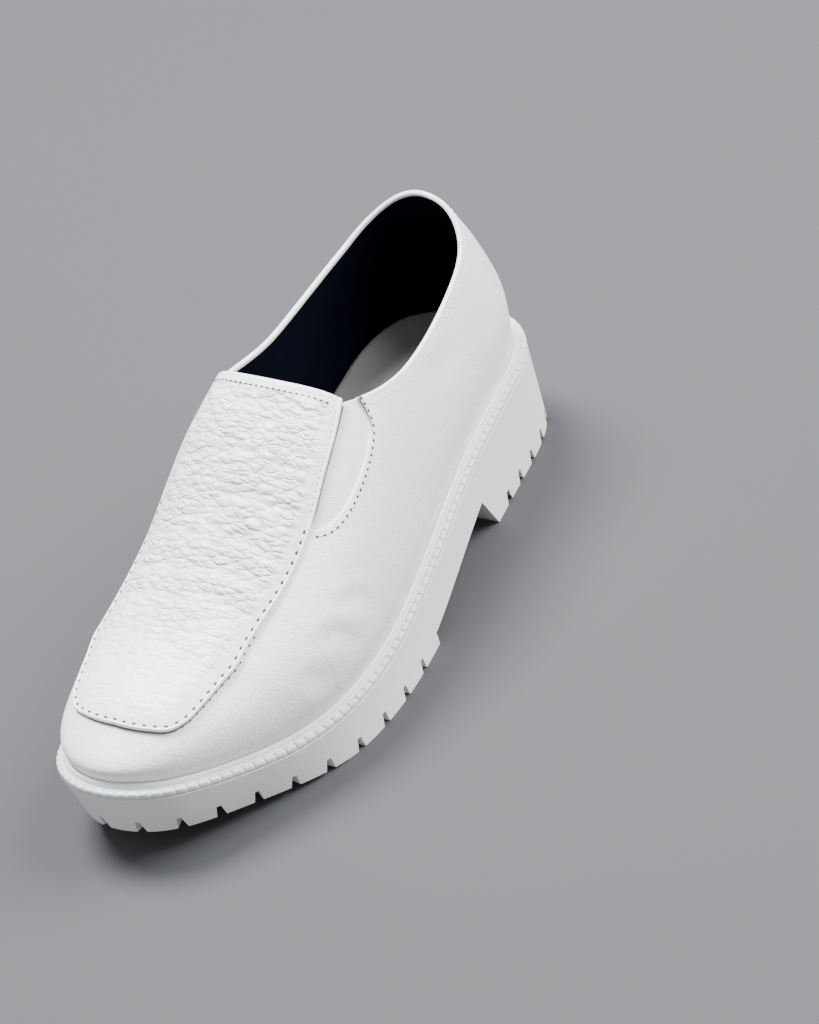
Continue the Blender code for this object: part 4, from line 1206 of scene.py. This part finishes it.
def build_welt():
    """A smooth bead against the upper, a flat strip and a row of small wheeled blocks at its edge."""
    pitch = 0.0045
    ring = respaced(SOLE_RING, 2160)
    blocks = round(looped(ring)[1][-1] / pitch)
    phase = np.arange(len(ring)) / len(ring) * blocks % 1.0
    gap = np.exp(-((phase - 0.5) / 0.12) ** 2)
    seat = sole_top(ring[:, 1])
    profile = (
        # depth from the sole's edge, height over the sole, share of the gap's depth
        (0.10, 0.00, 0.0), (-0.10, 0.35, 0.3), (-0.15, 1.10, 0.8), (-0.05, 1.90, 1.0), (0.15, 2.35, 1.0),
        (0.60, 2.62, 1.0), (1.20, 2.66, 1.0), (1.80, 2.60, 0.9), (2.20, 2.40, 0.5), (2.50, 2.18, 0.0),
        (2.80, 2.20, 0.0), (2.95, 2.45, 0.0), (3.10, 3.00, 0.0), (3.35, 3.60, 0.0), (3.80, 4.02, 0.0),
        (4.40, 4.15, 0.0), (4.90, 3.95, 0.0), (5.25, 3.30, 0.0), (5.35, 2.00, 0.0),
    )
    columns = []
    for depth, height, share in profile:
        line = offset(ring, -(depth + 0.30 * share * gap) * MM)
        z = seat + (height - 0.70 * share * gap * (height / 2.6)) * MM
        columns.append(np.column_stack([line, z]))
    grid = np.stack(columns, axis=1)
    piece = grids_object("welt_strip", [grid], WELT_RUBBER, closed=True)
    stands_for("welt")


# Outsole

# Share of its tread at which a well lies, half its length between the round ends, and half its width
FORE_WELL = (0.63, 0.028, 0.017)
HEEL_WELL = (0.53, 0.007, 0.010)
WELL_DEPTH = 0.0064
RIM_DISTANCE = 0.0135
RIM_WIDTH = 0.0018
RIM_DEPTH = 0.0040
WAIST = 0.62
STUD_ARM = 0.0042
STUD_ROUND = 0.0021
STUD_NECK = 0.0028
STUD_PITCH = 0.0185
STUD_APART = 0.0078
STUD_HEIGHTS = (0.0019, 0.0079)
BELOW = -0.03


def solid(name, faces):
    mesh = bmesh.new()
    for face in faces:
        mesh.faces.new([mesh.verts.new(point) for point in face])
    bmesh.ops.remove_doubles(mesh, verts=mesh.verts, dist=1e-6)
    bmesh.ops.dissolve_degenerate(mesh, edges=mesh.edges, dist=1e-6)
    bmesh.ops.recalc_face_normals(mesh, faces=mesh.faces)
    data = bpy.data.meshes.new(name)
    mesh.to_mesh(data)
    mesh.free()
    return placed(name, data)


def slab_faces(rings, heights, stations):
    """The faces of a solid through rings of points, its top and bottom level across the shoe."""
    share = end_crowded(stations + 1)
    sides = []
    for ring, height in zip(rings, heights):
        pair = []
        for half in split_ring(ring):
            y = half[0, 1] + share * (half[-1, 1] - half[0, 1])
            x = np.interp(y, half[:, 1], half[:, 0])
            pair.append(np.stack([x, y, height(y)], axis=1))
        sides.append(pair)
    faces = []
    for i in range(stations):
        j = i + 1
        faces.append([sides[0][0][i], sides[0][0][j], sides[0][1][j], sides[0][1][i]])
        faces.append([sides[-1][0][i], sides[-1][1][i], sides[-1][1][j], sides[-1][0][j]])
        for high, low in zip(sides, sides[1:]):
            faces.append([low[0][i], low[0][j], high[0][j], high[0][i]])
            faces.append([low[1][i], high[1][i], high[1][j], low[1][j]])
    return faces


def prism_faces(low, high):
    faces = [list(low)[::-1], list(high)]
    for i in range(len(low)):
        j = (i + 1) % len(low)
        faces.append([low[i], low[j], high[j], high[i]])
    return faces


def tread_axis(y):
    return sum(float(np.interp(y, half[:, 1], half[:, 0])) for half in split_ring(TREAD_RING)) / 2


def edge_run(y, outer):
    closed, run = looped(TREAD_RING)
    back = int(np.argmax(closed[:, 1]))
    if outer:
        return float(np.interp(y, closed[:back + 1, 1], run[:back + 1]))
    return float(np.interp(-y, -closed[back:, 1], run[back:]))


def flat_prism(outline, centre_y, low, high):
    floor = float(tread_height(centre_y))
    return prism_faces(*[[(*spot, floor + height) for spot in outline] for height in (low, high)])


def lug_grooves(first, last, pitch, ends, waists):
    """Grooves from the edge to the well, each with a wide spot between the inner bars for every waist given.
    """
    front, back, half = ends
    closed, run = looped(TREAD_RING)
    count = round(abs(last - first) / pitch)
    faces = []
    for step in range(1, count):
        at = (first + (last - first) * step / count) % run[-1]
        edge = points_at(at, run, closed)
        target_y = min(max(edge[1], front), back)
        target = np.array([tread_axis(target_y), target_y])
        length = np.linalg.norm(target - edge)
        heading = (target - edge) / length
        across = np.array([-heading[1], heading[0]])
        inner = length - half * 0.9
        widths = [(-0.011, LUG_GAP)]
        for waist in waists:
            middle = RIM_DISTANCE + (inner - RIM_DISTANCE) * waist
            for away, times in ((-0.0032, 1), (-0.0012, 2.5), (0.0012, 2.5), (0.0032, 1)):
                widths.append((middle + away, times * LUG_GAP))
        widths.append((inner, LUG_GAP))
        outline = [edge + heading * place + across * width / 2 for place, width in widths]
        outline += [edge + heading * place - across * width / 2 for place, width in widths[::-1]]
        low = []
        high = []
        for spot in outline:
            roof = float(tread_height(spot[1])) + LUG_DEPTH
            wide = spot + (spot - (edge + heading * ((spot - edge) @ heading))) * (LUG_DRAFT - 1)
            low.append((*wide, roof - LUG_DEPTH - 0.0015))
            high.append((*spot, roof))
        faces.append(prism_faces(low, high))
    return faces


def long_round(ends):
    front, back, half = ends
    ring = []
    for centre, start in ((front, HALF_TURN), (back, 0.0)):
        for angle in np.linspace(start, start + HALF_TURN, 25):
            ring.append((tread_axis(centre) + half * math.cos(angle), centre + half * math.sin(angle)))
    return np.array(ring)


def cross_outline(x, y):
    """A cross with round arms."""
    spots = []
    for quarter in range(4):
        turn = math.radians(45 + 90 * quarter)
        way = np.array([math.cos(turn), math.sin(turn)])
        side = np.array([-way[1], way[0]])
        for angle in np.radians([-90, -60, -30, 0, 30, 60, 90]):
            reach_out = STUD_ARM + STUD_ROUND * math.cos(angle)
            spots.append(np.array([x, y]) + way * reach_out + side * STUD_ROUND * math.sin(angle))
        inner = math.radians(90 + 90 * quarter)
        spots.append(np.array([x, y]) + np.array([math.cos(inner), math.sin(inner)]) * STUD_NECK)
    return spots


def cut(piece, cutter, operation="DIFFERENCE", own_overlaps=False):
    modifier = piece.modifiers.new(cutter.name, "BOOLEAN")
    modifier.operation = operation
    modifier.use_self = own_overlaps
    modifier.solver = "EXACT"
    modifier.object = cutter


def build_outsole():
    fore = y_of(1) + FORE_TREAD_LENGTH
    breast = y_of(0) - HEEL_TREAD_LENGTH
    rings = (offset(SOLE_RING, -0.0005), SOLE_RING, offset(SOLE_RING, -0.0001), TREAD_RING)
    heights = (sole_top, lambda y: sole_top(y) - 0.0005, lambda y: sole_top(y) - 0.0012, tread_height)
    sole = solid("outsole_rubber", slab_faces(rings, heights, 150))
    top = breast - BREAST_SLOPE
    side = [(breast, BELOW), (breast, 0.0)]
    for share in np.linspace(0, 1, 25):
        side.append((top - share * (top - fore), LUG_DEPTH + (ARCH_HEIGHT - LUG_DEPTH) * (1 - share) ** 1.15))
    side.append((fore, BELOW))
    cutters = [solid("arch", prism_faces([(-0.1, y, z) for y, z in side], [(0.1, y, z) for y, z in side]))]
    fore_middle = y_of(1) + FORE_TREAD_LENGTH * FORE_WELL[0]
    heel_middle = y_of(0) - HEEL_TREAD_LENGTH * HEEL_WELL[0]
    fore_well = (fore_middle - FORE_WELL[1], fore_middle + FORE_WELL[1], FORE_WELL[2])
    heel_well = (heel_middle - HEEL_WELL[1], heel_middle + HEEL_WELL[1], HEEL_WELL[2])
    for name, ends in (("fore_well", fore_well), ("heel_well", heel_well)):
        ring = long_round(ends)
        deep = (lambda y: tread_height(y) + WELL_DEPTH, lambda y: np.full(len(y), BELOW))
        cutters.append(solid(name, slab_faces((ring, ring), deep, 30)))
    fore_ends = edge_run(fore, False) - looped(TREAD_RING)[1][-1], edge_run(fore, True)
    grooves = lug_grooves(*fore_ends, FORE_LUG_PITCH, fore_well, (WAIST,))
    grooves += lug_grooves(edge_run(breast, True), edge_run(breast, False), HEEL_LUG_PITCH, heel_well, ())
    cutters.append(solid("grooves", [face for faces in grooves for face in faces]))
    outer = respaced(offset(SOLE_RING, -RIM_DISTANCE), 360)
    inner = offset(outer, -RIM_WIDTH)
    faces = []
    for i in range(len(outer)):
        ends = []
        for k in (i, (i + 1) % len(outer)):
            roof = float(tread_height(outer[k, 1])) + RIM_DEPTH
            ends.append([(*outer[k], BELOW), (*inner[k], BELOW), (*inner[k], roof), (*outer[k], roof)])
        for corner in range(4):
            following = (corner + 1) % 4
            faces.append([ends[0][corner], ends[0][following], ends[1][following], ends[1][corner]])
    cutters.append(solid("rim", faces))
    for cutter in cutters:
        cut(sole, cutter, own_overlaps=cutter.name.startswith("grooves"))
    crosses = []
    for row in (-1.5, -0.5, 0.5, 1.5):
        y = fore_middle + row * STUD_PITCH
        for x in ((-STUD_APART, STUD_APART) if abs(row) < 1 else (0.0,)):
            crosses += flat_prism(cross_outline(tread_axis(y) + x, y), y, *STUD_HEIGHTS)
    studs = solid("crosses", crosses)
    cut(sole, studs, "UNION")
    depsgraph = bpy.context.evaluated_depsgraph_get()
    data = bpy.data.meshes.new_from_object(sole.evaluated_get(depsgraph))
    sole.modifiers.clear()
    sole.data = data
    for cutter in (*cutters, studs):
        bpy.data.objects.remove(cutter, do_unlink=True)
    data.materials.clear()
    data.materials.append(SOLE_RUBBER)
    data.shade_smooth()
    data.set_sharp_from_angle(angle=math.radians(28))
    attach(sole, "root")
    stands_for("outsole")


# Floor, light and camera


def build_floor():
    mesh = bmesh.new()
    bmesh.ops.create_grid(mesh, x_segments=8, y_segments=8, size=3.0)
    data = bpy.data.meshes.new("floor")
    mesh.to_mesh(data)
    mesh.free()
    data.materials.append(Finish("pale_floor", (0.058, 0.060, 0.065), 0.85).material)
    floor = placed("floor", data)
    floor.location = (0, 0, -0.0002)


def area_light(name, place, size, energy):
    light = bpy.data.lights.new(name, "AREA")
    light.shape = "DISK"
    light.size = size
    light.energy = energy
    lamp = placed(name, light)
    lamp.location = place
    lamp.rotation_euler = (Vector(LIGHT_AIM) - Vector(place)).to_track_quat("-Z", "Y").to_euler()


def build_light():
    world = bpy.data.worlds.new("studio")
    world.use_nodes = True
    world.node_tree.nodes["Background"].inputs["Color"].default_value = (0.96, 0.98, 1.0, 1.0)
    world.node_tree.nodes["Background"].inputs["Strength"].default_value = 0.74
    bpy.context.scene.world = world
    area_light("key", (1.1, 1.00, 1.5), size=1.6, energy=118.0)
    area_light("left", (-0.75, 0.25, 1.9), size=0.9, energy=135.0)


def build_camera():
    camera = bpy.data.cameras.new("camera")
    camera.sensor_width = 36.0
    camera.lens = LENS
    camera.clip_end = 50.0
    holder = placed("camera", camera)
    back = Vector((math.sin(AZIMUTH) * math.cos(ELEVATION), -math.cos(AZIMUTH) * math.cos(ELEVATION),
                   math.sin(ELEVATION)))
    right = (-back).cross(Vector((0, 0, 1))).normalized()
    up = right.cross(-back)
    across = math.cos(ROLL) * right + math.sin(ROLL) * up
    upwards = -math.sin(ROLL) * right + math.cos(ROLL) * up
    place = Vector(TARGET) + Vector((SHIFT[0], SHIFT[1], 0)) + back * DISTANCE
    turned = Matrix((across, upwards, back)).transposed().to_4x4()
    holder.matrix_world = Matrix.Translation(place) @ turned
    bpy.context.scene.camera = holder


build_leather()
build_lining()
build_apron()
build_gores()
build_stitches()
build_insole()
build_welt()
build_outsole()
build_floor()
build_light()
build_camera()
